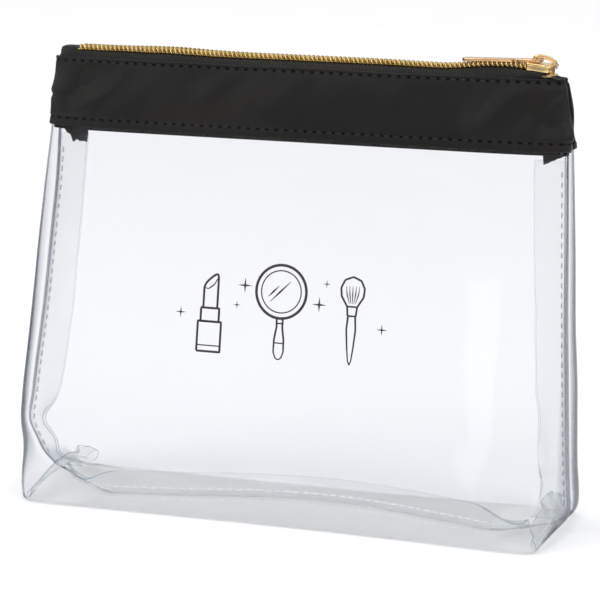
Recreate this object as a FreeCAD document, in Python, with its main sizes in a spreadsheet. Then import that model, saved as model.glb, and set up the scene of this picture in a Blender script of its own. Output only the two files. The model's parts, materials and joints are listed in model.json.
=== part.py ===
"""A clear zip pouch for makeup, as separate pieces in millimetres.

Frame: origin at the middle of the base, +X along the zip towards the slider's closed end,
-Y towards the front, +Z up. The film is sewn inside out and turned, so every seam has its
cut edges inside. The bottom corners are boxed, so the pouch stands on a flat base.
"""
import FreeCAD
import Part
import Sketcher
import math
import os

os.makedirs("parts", exist_ok=True)
doc = FreeCAD.newDocument("makeup_bag")

# ---------------------------------------------------------------- driving sizes
SIZES = {
    # the pouch
    "base_width": 213.2,
    "base_depth": 71.8,
    "rim_height": 182.5,
    "corner_height": 26.0,
    "widest_half": 119.2,
    "upper_half": 109.5,
    "taper_top": 150.0,
    "rim_half_depth": 7.0,
    "side_shift": 3.5,
    "side_sway": 4.5,
    "base_round": 4.0,
    "film": 0.4,
    "fold_height": 60.0,
    "fold_gap": 0.3,
    "middle_gap": 0.4,
    "rung_spacing": 4.0,
    # seams
    "seam_pair": 0.8,
    "seam_inset": 3.0,
    "side_allowance": 11.0,
    "base_allowance": 8.0,
    "corner_allowance": 9.0,
    "corner_rise": 6.5,
    "corner_clear": 7.5,
    "thread": 0.5,
    # satin band
    "band_bottom": 154.3,
    "band_cloth": 0.8,
    "band_gap": 0.1,
    "lining_cloth": 0.5,
    "lining_drop": 1.2,
    "row_inset": 4.3,
    "row_drop": 1.6,
    "band_end_drop": 9.0,
    "band_end_half": 1.0,
    # zip
    "tape": 0.5,
    "tape_level": 184.4,
    "tape_bottom": 176.0,
    "tape_slack": 0.05,
    "coil_start": -94.3,
    "coil_end": 108.5,
    "coil_side": 2.9,
    "coil_rise": 1.8,
    "coil_gap": 0.15,
    "coil_spread": 1.1,
    # slider
    "slider_rear_x": 94.8,
    "slider_front_x": 106.9,
    "parting_x": 98.5,
    "parted_x": 102.5,
    "slider_front": 5.0,
    "slider_rear": 3.9,
    "slider_floor": 183.15,
    "channel_floor": 184.1,
    "slot_top": 185.2,
    "channel_roof": 186.95,
    "slider_top": 187.9,
    "channel_rear": 3.2,
    "channel_front": 4.3,
    "post_half": 0.75,
    # bail and puller
    "bail_rear_x": 97.1,
    "bail_bar": 1.5,
    "bail_width": 1.7,
    "bail_top": 191.4,
    "pivot_x": 100.4,
    "pivot_z": 188.9,
    "pivot_radius": 0.75,
    "puller_length": 31.5,
    "puller_half": 2.5,
    "neck_half": 1.6,
    "puller_plate": 1.1,
    "eye_reach": 7.2,
    "eye_half": 1.25,
    "eye_outer": 2.4,
    # print
    "print_x": 1.8,
    "print_z": 86.0,
    "print_reach": 22.0,
    "ink": 0.12,
    "ink_gap": 0.05,
    "mirror_rim": 2.4,
}
sheet = doc.addObject("Spreadsheet::Sheet", "Sizes")
for row, (alias, value) in enumerate(SIZES.items(), start=1):
    sheet.set("A%d" % row, alias)
    sheet.set("B%d" % row, str(value))
    sheet.setAlias("B%d" % row, alias)
doc.recompute()

parts = {}


def size(alias):
    """The value of one cell of the sheet."""
    return float(sheet.get(alias))


def keep(node, thing):
    """Register a document object as the sub-part that is written to parts/NODE.step."""
    thing.Label = node
    parts[node] = thing
    return thing


def shaped(node, shape):
    """A sub-part whose outline follows a formula."""
    thing = doc.addObject("Part::Feature", node)
    thing.Shape = shape
    return keep(node, thing)


# ---------------------------------------------------------------- form of the pouch
def taper(z):
    """1 at the widest level, falling to 0 at the level where the sides become upright."""
    low, top = size("corner_height"), size("taper_top")
    return max(0.0, (top - max(z, low)) / (top - low))


def corner_swell(z):
    """0 at the base, 1 at the widest level, as a quarter ellipse."""
    reach = min(z / size("corner_height"), 1.0)
    return math.sqrt(1.0 - (1.0 - reach) ** 2)


def half_width(z):
    """Half the pouch's width at a height."""
    upper = size("upper_half")
    side = upper + (size("widest_half") - upper) * taper(z)
    foot = size("base_width") / 2
    return foot + (side - foot) * corner_swell(z)


def middle_x(z):
    """The pouch bulges more on its left, so its middle line sways with the height."""
    return size("side_shift") - size("side_sway") * taper(z) * corner_swell(z)


def half_depth(z):
    """Half the pouch's depth at a height: a wedge from the base to the zip."""
    foot, rim = size("base_depth") / 2, size("rim_half_depth")
    return foot - (foot - rim) * (max(z, 0.0) / size("rim_height")) ** 1.08


def squareness(z):
    """Exponent of the section's rounded rectangle: squarest at the base and at the rim."""
    return 4.0 + 6.0 * math.exp(-z / 8.0) + 10.0 * (z / size("rim_height")) ** 6


def section_point(z, angle, inset):
    """A point of the section at a height, at an angle about the pouch's middle line."""
    power = squareness(z)
    across, along = math.cos(angle), math.sin(angle)
    reach = (abs(across) ** power + abs(along) ** power) ** (-1.0 / power)
    x = middle_x(z) + (half_width(z) - inset) * reach * across
    return FreeCAD.Vector(x, (half_depth(z) - inset) * reach * along, z)


def half_row(z, inset, gap, front, steps=40):
    """Points round the front or back half of a section, stopping short of the middle plane."""
    start = math.atan(gap / (half_depth(z) - inset))
    shared = [math.pi * step / steps for step in range(1, steps)]
    clear = math.pi / steps / 4
    angles = [start] + [angle for angle in shared
                        if start + clear < angle < math.pi - start - clear] + [math.pi - start]
    turn = -1 if front else 1
    return [section_point(z, turn * angle, inset) for angle in angles]


def row_edge(points):
    """A smooth edge through a row of points."""
    curve = Part.BSplineCurve()
    curve.interpolate(points)
    return curve.toShape()


def closed_between(outer, inner):
    """A solid between two stacks of rows, the outer and the inner face of a thin wall."""
    stacks = [[row_edge(points) for points in rows] for rows in (outer, inner)]
    faces = []
    for stack in stacks:
        faces += [Part.makeRuledSurface(low, high) for low, high in zip(stack, stack[1:])]
    faces += [Part.makeRuledSurface(stacks[0][level], stacks[1][level]) for level in (0, -1)]
    for step in range(len(outer) - 1):
        for end in (0, -1):
            ring = [outer[step][end], outer[step + 1][end], inner[step + 1][end],
                    inner[step][end], outer[step][end]]
            faces.append(Part.Face(Part.makePolygon(ring)))
    shell = Part.makeShell(faces)
    shell.sewShape()
    solid = Part.makeSolid(shell)
    if solid.Volume < 0:
        solid.reverse()
    return solid


def rungs(low, top):
    """Levels from low to top. The ones between are shared by all layers, so they stay apart."""
    spacing = size("rung_spacing")
    shared = [60.0, 82.0, 105.0, 128.0] + [150.0 + spacing * rung for rung in range(12)]
    clear = spacing / 8
    return [low] + [z for z in shared if low + clear < z < top - clear] + [top]


def wrap(front, out, thick, low, top, gap):
    """A layer of cloth or film round one half of the pouch; out is how far it stands off."""
    levels = rungs(low, top)
    return closed_between([half_row(z, -out - thick, gap, front) for z in levels],
                          [half_row(z, -out, gap, front) for z in levels])


def plate_inside(row, corners, thick):
    """A flat plate between a smooth row of points and a few corners."""
    ends = [row[-1]] + corners + [row[0]]
    wire = Part.Wire([row_edge(row)] + Part.makePolygon(ends).Edges)
    return Part.Face(wire).extrude(FreeCAD.Vector(0, 0, thick))


SIDES = (("front", True), ("back", False))


# ---------------------------------------------------------------- film panels
film, fold, rim = size("film"), size("fold_height"), size("rim_height")
gap = size("middle_gap")
base_gap = gap / 8


def tub_row(turn, inset_from, front):
    """One row of the film where it turns up out of the base; turn runs from 0 to 90 degrees."""
    radius, bend = size("base_round"), size("base_round") - inset_from
    z = radius - bend * math.cos(math.radians(turn))
    inset = radius - bend * math.sin(math.radians(turn))
    row = half_row(radius - size("base_round") * math.cos(math.radians(turn)),
                   inset, base_gap, front)
    return [FreeCAD.Vector(point.x, point.y, z) for point in row]


for side, front in SIDES:
    skins = []
    for depth in (0.0, film):
        rows = [tub_row(turn, depth, front) for turn in (0, 30, 60, 90)]
        rows += [half_row(z, depth, base_gap, front) for z in (9.0, 16.0, 26.0, 42.0, fold)]
        skins.append(rows)
    floor_half = plate_inside(skins[0][0], [], film)
    shaped(side + "_panel_lower", closed_between(*skins).fuse(floor_half))
    shaped(side + "_panel_upper",
           wrap(front, -film, film, fold + size("fold_gap"), rim, gap))


# ---------------------------------------------------------------- sewn seam edges
def prism(points, depth):
    """A solid made by moving a flat polygon along depth."""
    corners = [FreeCAD.Vector(*point) for point in points]
    return Part.Face(Part.makePolygon(corners + corners[:1])).extrude(FreeCAD.Vector(*depth))


def side_x(sign, z, inset):
    """X of the side seam at a height, drawn in by inset."""
    return middle_x(z) + sign * (half_width(z) - inset)


def side_strip(sign, levels, outer, inner, y, thickness):
    """An upright strip that follows a side seam between two insets."""
    ring = [(side_x(sign, z, outer), y, z) for z in levels]
    ring += [(side_x(sign, z, inner), y, z) for z in levels[::-1]]
    return prism(ring, (0, thickness, 0))


def corner_strip(sign, low, high, inset, thickness):
    """A strip along a boxed corner's seam, which rises to an arch over the base."""
    steps = 8
    reach = size("base_depth") / 2 - size("corner_clear")
    ring = []
    for step in range(steps + 1):
        y = reach * (2.0 * step / steps - 1.0)
        ring.append((y, size("film") + 0.3 + size("corner_rise") * (1.0 - (y / reach) ** 2)))
    x = size("side_shift") + sign * (size("base_width") / 2 - inset)
    points = [(x, y, z + low) for y, z in ring] + [(x, y, z + high) for y, z in ring[::-1]]
    return prism(points, (-sign * thickness, 0, 0))


def slab(half, low, top):
    """A wide box centred on the pouch's middle plane."""
    return Part.makeBox(400, 2 * half, top - low, FreeCAD.Vector(-200, -half, low))


pair, thread = size("seam_pair"), size("thread")
seam_inset = size("seam_inset")
allowance_end = seam_inset + size("side_allowance")
SEAM_LEVELS = (10.0, 18.0, 26.0, 60.0, 105.0, 150.0)
for side, sign in (("left", -1), ("right", 1)):
    edges = side_strip(sign, SEAM_LEVELS, film + 0.3, allowance_end, -pair / 2, pair)
    shaped("side_seam_" + side, edges)
    near, far = seam_inset - thread / 2, seam_inset + thread / 2
    rows = [side_strip(sign, SEAM_LEVELS, near, far, y, thread / 2)
            for y in (-pair / 2 - thread / 2, pair / 2)]
    shaped("side_stitches_" + side, Part.makeCompound(rows))
    corner = corner_strip(sign, 0.0, size("corner_allowance"), 4.6, pair)
    shaped("corner_seam_" + side, corner.cut(slab(pair / 2 + 0.05, 9.9, 40)))
    track = corner_strip(sign, 2.0, 2.0 + thread, 4.6 + pair, thread / 2)
    shaped("corner_stitches_" + side, track)


# ---------------------------------------------------------------- satin band
band_low, cloth, band_gap = size("band_bottom"), size("band_cloth"), size("band_gap")
lining, slack, tape = size("lining_cloth"), size("tape_slack"), size("tape")
tape_level, end_half = size("tape_level"), size("band_end_half")
end_gap = end_half + 0.3
tape_out = -film - slack - tape
row_low = band_low + size("row_inset")
row_top = rim - size("row_drop")
# how far each layer stands off the film, its thickness, and its lowest and highest level
LAYERS = {
    "band": (band_gap, cloth, band_low, rim),
    "band_lining": (tape_out - slack - lining, lining, band_low - size("lining_drop"), rim - 1),
    "upper_stitches": (band_gap + cloth, thread / 2, row_top, row_top + thread),
    "lower_stitches": (band_gap + cloth, thread / 2, row_low, row_low + thread),
}
for side, front in SIDES:
    for piece, (out, thick, low, top) in LAYERS.items():
        shaped(side + "_" + piece, wrap(front, out, thick, low, top, end_gap))

END_LEVELS = (band_low - size("band_end_drop"), band_low, rim - 0.1)
seam_slot = slab(pair / 2 + thread / 2 + 0.05, 120.0, SEAM_LEVELS[-1] + 0.1)
for side, sign in (("left", -1), ("right", 1)):
    strip = side_strip(sign, END_LEVELS, film + 0.4, allowance_end, -end_half, 2 * end_half)
    shaped("band_end_" + side, strip.cut(seam_slot))


# ---------------------------------------------------------------- zip tapes
coil_gap, parting, parted = size("coil_gap"), size("parting_x"), size("parted_x")
parted_gap = coil_gap + size("coil_spread")
for side, front in SIDES:
    wall = wrap(front, tape_out, tape, size("tape_bottom"), tape_level, end_gap)
    shoulder = half_row(tape_level, -tape_out - tape, end_gap, front)
    right, left = shoulder[0], shoulder[-1]
    turn = -1 if front else 1
    lip = [(left.x, coil_gap), (parting, coil_gap), (parted, parted_gap), (right.x, parted_gap)]
    corners = [FreeCAD.Vector(x, turn * y, tape_level) for x, y in lip]
    flat = plate_inside(shoulder, corners, tape)
    shaped(side + "_tape", wall.fuse(flat))


# ---------------------------------------------------------------- bound sketches
def rule_of(words):
    """An expression in which each alias is written as the sheet's cell."""
    return " ".join("<<Sizes>>." + word if word in SIZES else word for word in words.split())


def number_of(words):
    """The value of such an expression."""
    return float(sheet.evalExpression(rule_of(words)))


def plane(body, role):
    """One of the body's own origin planes."""
    return next(feature for feature in body.Origin.OriginFeatures if feature.Role == role)


def blank_sketch(body, name, role, offset):
    """An empty sketch on one of the body's own planes, moved out by an expression."""
    sketch = body.newObject("Sketcher::SketchObject", name)
    sketch.AttachmentSupport = [(plane(body, role), "")]
    sketch.MapMode = "FlatFace"
    sketch.setExpression("AttachmentOffset.Base.z", rule_of(offset))
    return sketch


def outline(body, name, role, corners, offset="0"):
    """A closed polygon whose corners are bound to the sheet by distance constraints."""
    sketch = blank_sketch(body, name, role, offset)
    places = [FreeCAD.Vector(number_of(x), number_of(y), 0) for x, y in corners]
    for index, place in enumerate(places):
        sketch.addGeometry(Part.LineSegment(place, places[(index + 1) % len(places)]), False)
    for index in range(len(places)):
        following = (index + 1) % len(places)
        sketch.addConstraint(Sketcher.Constraint("Coincident", index, 2, following, 1))
    for index, (place, rules) in enumerate(zip(places, corners)):
        for kind, value, words in (("DistanceX", place.x, rules[0]),
                                   ("DistanceY", place.y, rules[1])):
            constraint = Sketcher.Constraint(kind, -1, 1, index, 1, value)
            number = sketch.addConstraint(constraint)
            sketch.setExpression("Constraints[%d]" % number, rule_of(words))
    return sketch


def pad(body, name, sketch, length, midplane=False):
    """A pad of a sketch, with its length bound to the sheet."""
    feature = body.newObject("PartDesign::Pad", name)
    feature.Profile = sketch
    feature.setExpression("Length", rule_of(length))
    feature.Midplane = midplane
    doc.recompute()
    return feature


def pocket(body, name, sketch, length, upward=True):
    """A pocket of a sketch, which must take something away."""
    before = body.Shape.Volume
    feature = body.newObject("PartDesign::Pocket", name)
    feature.Profile = sketch
    feature.setExpression("Length", rule_of(length))
    feature.Reversed = upward
    doc.recompute()
    if body.Shape.Volume > before - 1e-3:
        raise RuntimeError(name + " cuts nothing")
    return feature


def mirrored(points):
    """A half outline of (x, half width) rules, closed by its mirror image."""
    return [(x, "-1 * ( %s )" % y) for x, y in points] + points[::-1]


def body_of(node):
    """A PartDesign body for one sub-part."""
    return keep(node, doc.addObject("PartDesign::Body", node))


def bound_box(node, sizes, place):
    """A Part::Box whose sizes and place are expressions of the sheet."""
    box = doc.addObject("Part::Box", node)
    for name, words in zip(("Length", "Width", "Height"), sizes):
        box.setExpression(name, rule_of(words))
    for name, words in zip(("x", "y", "z"), place):
        box.setExpression("Placement.Base." + name, rule_of(words))
    return keep(node, box)


# ---------------------------------------------------------------- base seam
base_reach = "( base_width - 2 * corner_allowance )"
base_start = "side_shift - " + base_reach + " / 2"
bound_box("bottom_seam", (base_reach, "seam_pair", "base_allowance"),
          (base_start, "-1 * seam_pair / 2", "film + 0.1"))
bound_box("bottom_stitches_front", (base_reach, "thread / 2", "thread"),
          (base_start, "-1 * seam_pair / 2 - thread / 2", "film + 2"))
bound_box("bottom_stitches_back", (base_reach, "thread / 2", "thread"),
          (base_start, "seam_pair / 2", "film + 2"))


# ---------------------------------------------------------------- coil rows
for side, sign in (("front", "-1 *"), ("back", "1 *")):
    inner, outer = sign + " coil_gap", sign + " coil_side"
    spread_inner = sign + " ( coil_gap + coil_spread )"
    spread_outer = sign + " ( coil_side + coil_spread )"
    row = [("coil_start", outer), ("parting_x", outer), ("parted_x", spread_outer),
           ("coil_end", spread_outer), ("coil_end", spread_inner), ("parted_x", spread_inner),
           ("parting_x", inner), ("coil_start", inner)]
    coil = body_of(side + "_coil")
    plan = outline(coil, side + "_coil_plan", "XY_Plane", row, "tape_level + tape")
    pad(coil, side + "_coil_row", plan, "coil_rise")


# ---------------------------------------------------------------- slider
slider = body_of("slider_body")
shell_plan = [("slider_rear_x", "slider_rear - 1"), ("slider_rear_x + 1", "slider_rear"),
              ("parting_x", "slider_rear"), ("parted_x", "slider_front"),
              ("slider_front_x - 1.5", "slider_front"), ("slider_front_x", "slider_front - 1")]
plan = outline(slider, "slider_plan", "XY_Plane", mirrored(shell_plan), "slider_floor")
pad(slider, "slider_block", plan, "slider_top - slider_floor")
channel_plan = [("slider_rear_x - 1", "channel_rear"), ("parting_x", "channel_rear"),
                ("parted_x", "channel_front"), ("slider_front_x + 1", "channel_front")]
plan = outline(slider, "channel_plan", "XY_Plane", mirrored(channel_plan), "channel_floor")
pocket(slider, "channel", plan, "channel_roof - channel_floor")
slot_plan = [("slider_rear_x - 1", "slider_front + 1"), ("slider_front_x + 1", "slider_front + 1")]
plan = outline(slider, "slot_plan", "XY_Plane", mirrored(slot_plan), "channel_floor")
pocket(slider, "tape_slots", plan, "slot_top - channel_floor")
post_plan = [("parting_x + 2", "0.05"), ("parted_x + 0.5", "post_half"),
             ("slider_front_x - 1.2", "post_half"), ("slider_front_x - 0.5", "0.05")]
plan = outline(slider, "post_plan", "XY_Plane", mirrored(post_plan), "channel_floor - 0.1")
pad(slider, "post", plan, "channel_roof - channel_floor + 0.2")

bail = body_of("slider_bail")
arch = [("bail_rear_x", "slider_top"), ("bail_rear_x", "bail_top - 1.2"),
        ("bail_rear_x + 1.4", "bail_top"), ("bail_rear_x + 4.4", "bail_top"),
        ("slider_front_x - 1.3", "slider_top + 2"), ("slider_front_x", "slider_top"),
        ("slider_front_x - 1.7", "slider_top"), ("slider_front_x - 2.5", "slider_top + 1.1"),
        ("bail_rear_x + 4.1", "bail_top - bail_bar"),
        ("bail_rear_x + 2.1", "bail_top - bail_bar"),
        ("bail_rear_x + bail_bar", "bail_top - bail_bar - 0.5"),
        ("bail_rear_x + bail_bar", "slider_top")]
profile = outline(bail, "bail_profile", "XZ_Plane", arch)
pad(bail, "bail_arch", profile, "bail_width", midplane=True)


# ---------------------------------------------------------------- puller
puller = body_of("puller")
tip = "pivot_x - puller_length"
plate_plan = [(tip, "puller_half - 1"), (tip + " + 1", "puller_half"),
              ("pivot_x - eye_reach - 3.2", "puller_half"),
              ("pivot_x - eye_reach - 1.9", "neck_half"),
              ("pivot_x - eye_reach - 1", "eye_outer"), ("pivot_x", "eye_outer")]
level = "pivot_z - puller_plate / 2"
plan = outline(puller, "puller_plan", "XY_Plane", mirrored(plate_plan), level)
pad(puller, "puller_plate", plan, "puller_plate")
eye_plan = [("pivot_x - eye_reach", "eye_half"), ("pivot_x + 1", "eye_half")]
plan = outline(puller, "eye_plan", "XY_Plane", mirrored(eye_plan), level)
pocket(puller, "eye", plan, "puller_plate")
rod = blank_sketch(puller, "pivot_rod_section", "XZ_Plane", "0")
centre = FreeCAD.Vector(size("pivot_x"), size("pivot_z"), 0)
rod.addGeometry(Part.Circle(centre, FreeCAD.Vector(0, 0, 1), size("pivot_radius")), False)
for kind, words in (("DistanceX", "pivot_x"), ("DistanceY", "pivot_z")):
    number = rod.addConstraint(Sketcher.Constraint(kind, -1, 1, 0, 3, number_of(words)))
    rod.setExpression("Constraints[%d]" % number, rule_of(words))
number = rod.addConstraint(Sketcher.Constraint("Radius", 0, size("pivot_radius")))
rod.setExpression("Constraints[%d]" % number, rule_of("pivot_radius"))
pad(puller, "pivot_rod", rod, "2 * eye_outer", midplane=True)


# ---------------------------------------------------------------- print on the front
def disc(x, z, radius):
    """A cylinder along Y, through the front of the pouch."""
    base = FreeCAD.Vector(size("print_x") + x, -60.0, size("print_z") + z)
    return Part.makeCylinder(radius, 60.0, base, FreeCAD.Vector(0, 1, 0))


def bar(x, z, width, height):
    """A box through the front of the pouch, centred on x and standing on z."""
    corner = FreeCAD.Vector(size("print_x") + x - width / 2, -60.0, size("print_z") + z)
    return Part.makeBox(width, 60.0, height, corner)


# x of its middle, z of its foot, width and height of each bar, from the print's centre
PRINT_BARS = {
    "mirror_handle": (0.0, -18.5, 3.2, 13.8),
    "lipstick_case": (-30.0, -17.0, 9.0, 14.0),
    "lipstick": (-30.0, -2.0, 6.5, 15.0),
    "brush_handle": (30.0, -18.0, 2.6, 20.0),
}
# x and z of its middle, and radius of each disc
PRINT_DISCS = {
    "mirror": (0.0, 7.0, 11.0),
    "brush_head": (30.0, 7.5, 5.0),
}
reach = size("print_reach")
ink_coat = wrap(True, size("ink_gap"), size("ink"), size("print_z") - reach, size("print_z") + reach, gap)
icons = {icon: bar(*place) for icon, place in PRINT_BARS.items()}
icons.update({icon: disc(*place) for icon, place in PRINT_DISCS.items()})
mirror_x, mirror_z, mirror_radius = PRINT_DISCS["mirror"]
glass = disc(mirror_x, mirror_z, mirror_radius - size("mirror_rim"))
icons["mirror"] = icons["mirror"].cut(glass)
inked = [ink_coat.common(icon) for icon in icons.values()]
shaped("front_print", Part.makeCompound(inked))


# ---------------------------------------------------------------- checks and export
doc.recompute()
failed = [thing.Label for thing in doc.Objects
          if "Invalid" in thing.State or "Error" in thing.State]
failed += [node for node, thing in parts.items()
           if thing.Shape.isNull() or not thing.Shape.isValid() or not thing.Shape.Solids]
if failed:
    raise RuntimeError("failed: " + ", ".join(failed))
for node, thing in parts.items():
    thing.Shape.exportStep("parts/%s.step" % node)
    box = thing.Shape.BoundBox
    print("%-24s %2d solids %8.1f mm3  x %6.1f %6.1f  y %6.1f %6.1f  z %6.1f %6.1f" % (
        node, len(thing.Shape.Solids), thing.Shape.Volume, box.XMin, box.XMax,
        box.YMin, box.YMax, box.ZMin, box.ZMax))
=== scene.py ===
"""The looks of a clear zip pouch for makeup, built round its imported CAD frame, in metres.

Frame: origin near the middle of the base, +X along the zip towards its closed end, -Y towards
the front, +Z up. The film is sewn inside out and turned, so all its cut edges are inside.
A side is -1 for the front of the pouch and 1 for the back; an end is -1 left and 1 right.
"""

import json
import math

import bmesh
import bpy
from mathutils import Matrix, Vector, noise
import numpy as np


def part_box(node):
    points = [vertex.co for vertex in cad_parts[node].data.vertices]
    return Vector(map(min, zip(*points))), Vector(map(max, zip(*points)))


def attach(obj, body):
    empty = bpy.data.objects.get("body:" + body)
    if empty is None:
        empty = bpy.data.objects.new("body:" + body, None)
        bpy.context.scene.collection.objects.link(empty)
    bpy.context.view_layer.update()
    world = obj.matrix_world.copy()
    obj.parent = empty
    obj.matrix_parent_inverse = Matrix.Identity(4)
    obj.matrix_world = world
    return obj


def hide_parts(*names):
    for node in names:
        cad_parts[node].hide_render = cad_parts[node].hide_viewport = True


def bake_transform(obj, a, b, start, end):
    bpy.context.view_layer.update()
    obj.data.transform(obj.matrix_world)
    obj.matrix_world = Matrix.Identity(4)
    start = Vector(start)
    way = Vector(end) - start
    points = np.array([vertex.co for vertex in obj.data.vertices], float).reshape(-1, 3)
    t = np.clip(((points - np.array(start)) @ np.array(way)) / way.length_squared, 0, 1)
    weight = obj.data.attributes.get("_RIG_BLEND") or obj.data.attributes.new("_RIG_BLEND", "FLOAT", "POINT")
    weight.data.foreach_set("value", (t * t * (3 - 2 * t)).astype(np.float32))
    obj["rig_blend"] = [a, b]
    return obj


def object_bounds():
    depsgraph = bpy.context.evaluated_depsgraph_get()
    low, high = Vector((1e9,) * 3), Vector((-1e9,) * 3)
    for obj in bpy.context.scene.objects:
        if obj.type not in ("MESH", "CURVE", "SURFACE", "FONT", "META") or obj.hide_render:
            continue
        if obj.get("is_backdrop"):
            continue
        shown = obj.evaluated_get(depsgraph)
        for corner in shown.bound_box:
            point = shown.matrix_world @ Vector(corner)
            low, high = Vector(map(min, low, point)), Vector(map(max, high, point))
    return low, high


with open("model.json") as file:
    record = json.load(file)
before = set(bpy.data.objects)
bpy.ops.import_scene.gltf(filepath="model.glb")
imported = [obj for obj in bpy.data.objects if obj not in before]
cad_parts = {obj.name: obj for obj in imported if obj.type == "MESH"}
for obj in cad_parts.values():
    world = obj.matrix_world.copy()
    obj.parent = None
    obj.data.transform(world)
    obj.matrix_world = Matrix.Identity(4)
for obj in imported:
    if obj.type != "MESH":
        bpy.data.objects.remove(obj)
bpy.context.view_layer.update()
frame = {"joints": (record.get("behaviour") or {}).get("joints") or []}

MM = 0.001
SIDES = {"front": -1, "back": 1}
ENDS = {"left": -1, "right": 1}

# ---------------------------------------------------------------- sizes from the frame
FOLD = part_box("front_panel_lower")[1].z
BASE_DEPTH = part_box("back_panel_lower")[1].y
BAND_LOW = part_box("front_band")[0].z
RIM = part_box("front_band")[1].z
TAPE_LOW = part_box("front_tape")[0].z
TAPE_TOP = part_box("front_tape")[1].z
COIL_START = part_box("front_coil")[0].x
COIL_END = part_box("front_coil")[1].x
SEAM_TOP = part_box("side_seam_left")[1].z
END_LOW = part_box("band_end_left")[0].z
SLIDER_LOW, SLIDER_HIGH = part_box("slider_body")
BAIL_LOW, BAIL_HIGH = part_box("slider_bail")
PULLER_LOW, PULLER_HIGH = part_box("puller")
JOINTS = {joint["name"]: joint for joint in frame["joints"]}
PIVOT = Vector(JOINTS["puller_hinge"]["pos_m"])
TRAVEL = -JOINTS["slider_slide"]["range_m"][0]

# ---------------------------------------------------------------- form of the pouch
SHIFT = JOINTS["front_lip_hinge"]["pos_m"][0]
RIM_DEPTH = 7 * MM
BASE_ROUND = 2.0 * MM
FILM = 0.4 * MM
SEAM_VALLEY = 1.0 * MM
SEAM_REACH = 5 * MM
SEAM_PINCH = 0.8 * MM
STITCH_INSET = 3 * MM
ALLOWANCE = 11 * MM
BASE_ALLOWANCE = 9.2 * MM
CORNER_ALLOWANCE = 8 * MM
CORNER_RISE = {-1: 6.3 * MM, 1: 3.6 * MM}
CORNER_REACH = 31 * MM
CORNER_CRUSH = {-1: 2.4 * MM, 1: 3.4 * MM}
STITCH_PITCH = 4 * MM
PLY = 0.36 * MM
BAND_OUT, BAND_ROUND = 0.9 * MM, 0.4 * MM
ROW_LOW = BAND_LOW + 3.4 * MM
ROW_HIGH = RIM - 1.6 * MM

# Height and x in mm: where each side seam runs, and how wide the walls stand beside it.
SEAM_LINE = {-1: ((0, -103.6), (1.2, -107.2), (7.5, -111.4), (17.6, -115.9), (26.5, -119.8),
                  (38, -118.3), (52, -116.4), (78, -112.6), (107, -109.2), (131, -106.4),
                  (154, -104.8), (166, -104.3), (182.5, -103.4)),
             1: ((0, 112), (3, 116.2), (9, 117.8), (25, 117), (55, 115.8), (87, 114.6), (108, 114),
                 (149, 113), (158, 112.9), (182.5, 109.8))}
CORNER_LINE = {-1: ((0, -107.5), (3, -109.2), (9, -110.2), (17, -109.8), (26, -108.6), (43, -108.8),
                    (60, -109.2), (82, -109.6), (110, -109.4), (140, -108.4), (150, -106.8),
                    (166, -104.7), (182.5, -103)),
               1: ((0, 111.6), (3, 112.2), (17, 112.8), (26, 113), (43, 114.6), (60, 115.6),
                   (82, 114.8), (110, 115.6), (150, 114.6), (158, 113.6), (182.5, 109.7))}


def smooth(share):
    """0 to 1 with level ends."""
    share = min(max(share, 0.0), 1.0)
    return share * share * (3 - 2 * share)


def drift(a, b, c):
    """Smooth noise of three numbers, about -1 to 1, the same in each run."""
    return noise.noise(Vector((a, b, c)))


def bump(value, centre, width):
    """1 at the centre, falling away on both sides."""
    return math.exp(-((value - centre) / width) ** 2)


def along(line, z):
    """X at a height on a line of (height, x) points in mm, smooth through the points."""
    height = min(max(z / MM, line[0][0]), line[-1][0])
    at = 0
    while at < len(line) - 2 and line[at + 1][0] < height:
        at += 1
    (z0, x0), (z1, x1) = line[at], line[at + 1]
    before, after = line[max(at - 1, 0)], line[min(at + 2, len(line) - 1)]
    slope = (x1 - x0) / (z1 - z0)
    slopes = []
    for (za, xa), (zb, xb) in ((before, (z1, x1)), ((z0, x0), after)):
        own = (xb - xa) / (zb - za)
        slopes.append(max(min(own, 3 * abs(slope)), -3 * abs(slope)))
    t = (height - z0) / (z1 - z0)
    gap = z1 - z0
    x = ((2 * t ** 3 - 3 * t ** 2 + 1) * x0 + (t ** 3 - 2 * t ** 2 + t) * gap * slopes[0]
         + (3 * t ** 2 - 2 * t ** 3) * x1 + (t ** 3 - t ** 2) * gap * slopes[1])
    return x * MM


def half_depth(z):
    """How far the long walls stand from the middle plane at a height."""
    return BASE_DEPTH - (BASE_DEPTH - RIM_DEPTH) * (max(z, 0.0) / RIM) ** 1.08


def squareness(z):
    """Boxy at the base, softer up the walls, and softest at the rim."""
    start = BAND_LOW - 6.3 * MM
    top = smooth((z - start) / (RIM - start))
    return 5.2 + 16 * math.exp(-z / (9 * MM)) - 1.2 * top


def ripple(x, z, side):
    """How far the film stands off its even shape: slow waves, stronger near the base."""
    calm = 1 - smooth((z - BAND_LOW + 26.3 * MM) / (18 * MM))
    rise = smooth(z / (6 * MM))
    slow = drift(x / 0.062, z / 0.085, 3.1 * side)
    fine = drift(x / 0.024, z / 0.021, 7.7 * side)
    low = math.exp(-z / (30 * MM))
    return calm * rise * (1.3 * MM * slow + 0.9 * MM * low * fine)


def settle(x, y, z):
    """The corner seams lift the middle of each end, and the long bottom edges bow inwards."""
    away = abs(x - SHIFT)
    end = smooth((away - 80 * MM) / (22 * MM))
    arch = max(0.0, 1 - (y / CORNER_REACH) ** 2)
    rise = CORNER_RISE[1 if x > SHIFT else -1] * arch * math.exp(-(z / (10 * MM)) ** 2) * end
    bow = 2.4 * MM * max(0.0, math.cos(1.5 * (x - SHIFT) / (107 * MM))) * math.exp(-z / (20 * MM))
    inward = -y / BASE_DEPTH * abs(y) / BASE_DEPTH
    deeper = 0.065 * smooth((x - 20 * MM) / (85 * MM)) * math.exp(-z / (40 * MM))
    return Vector((x, y * (1 + deeper) + bow * inward, z + rise))


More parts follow.
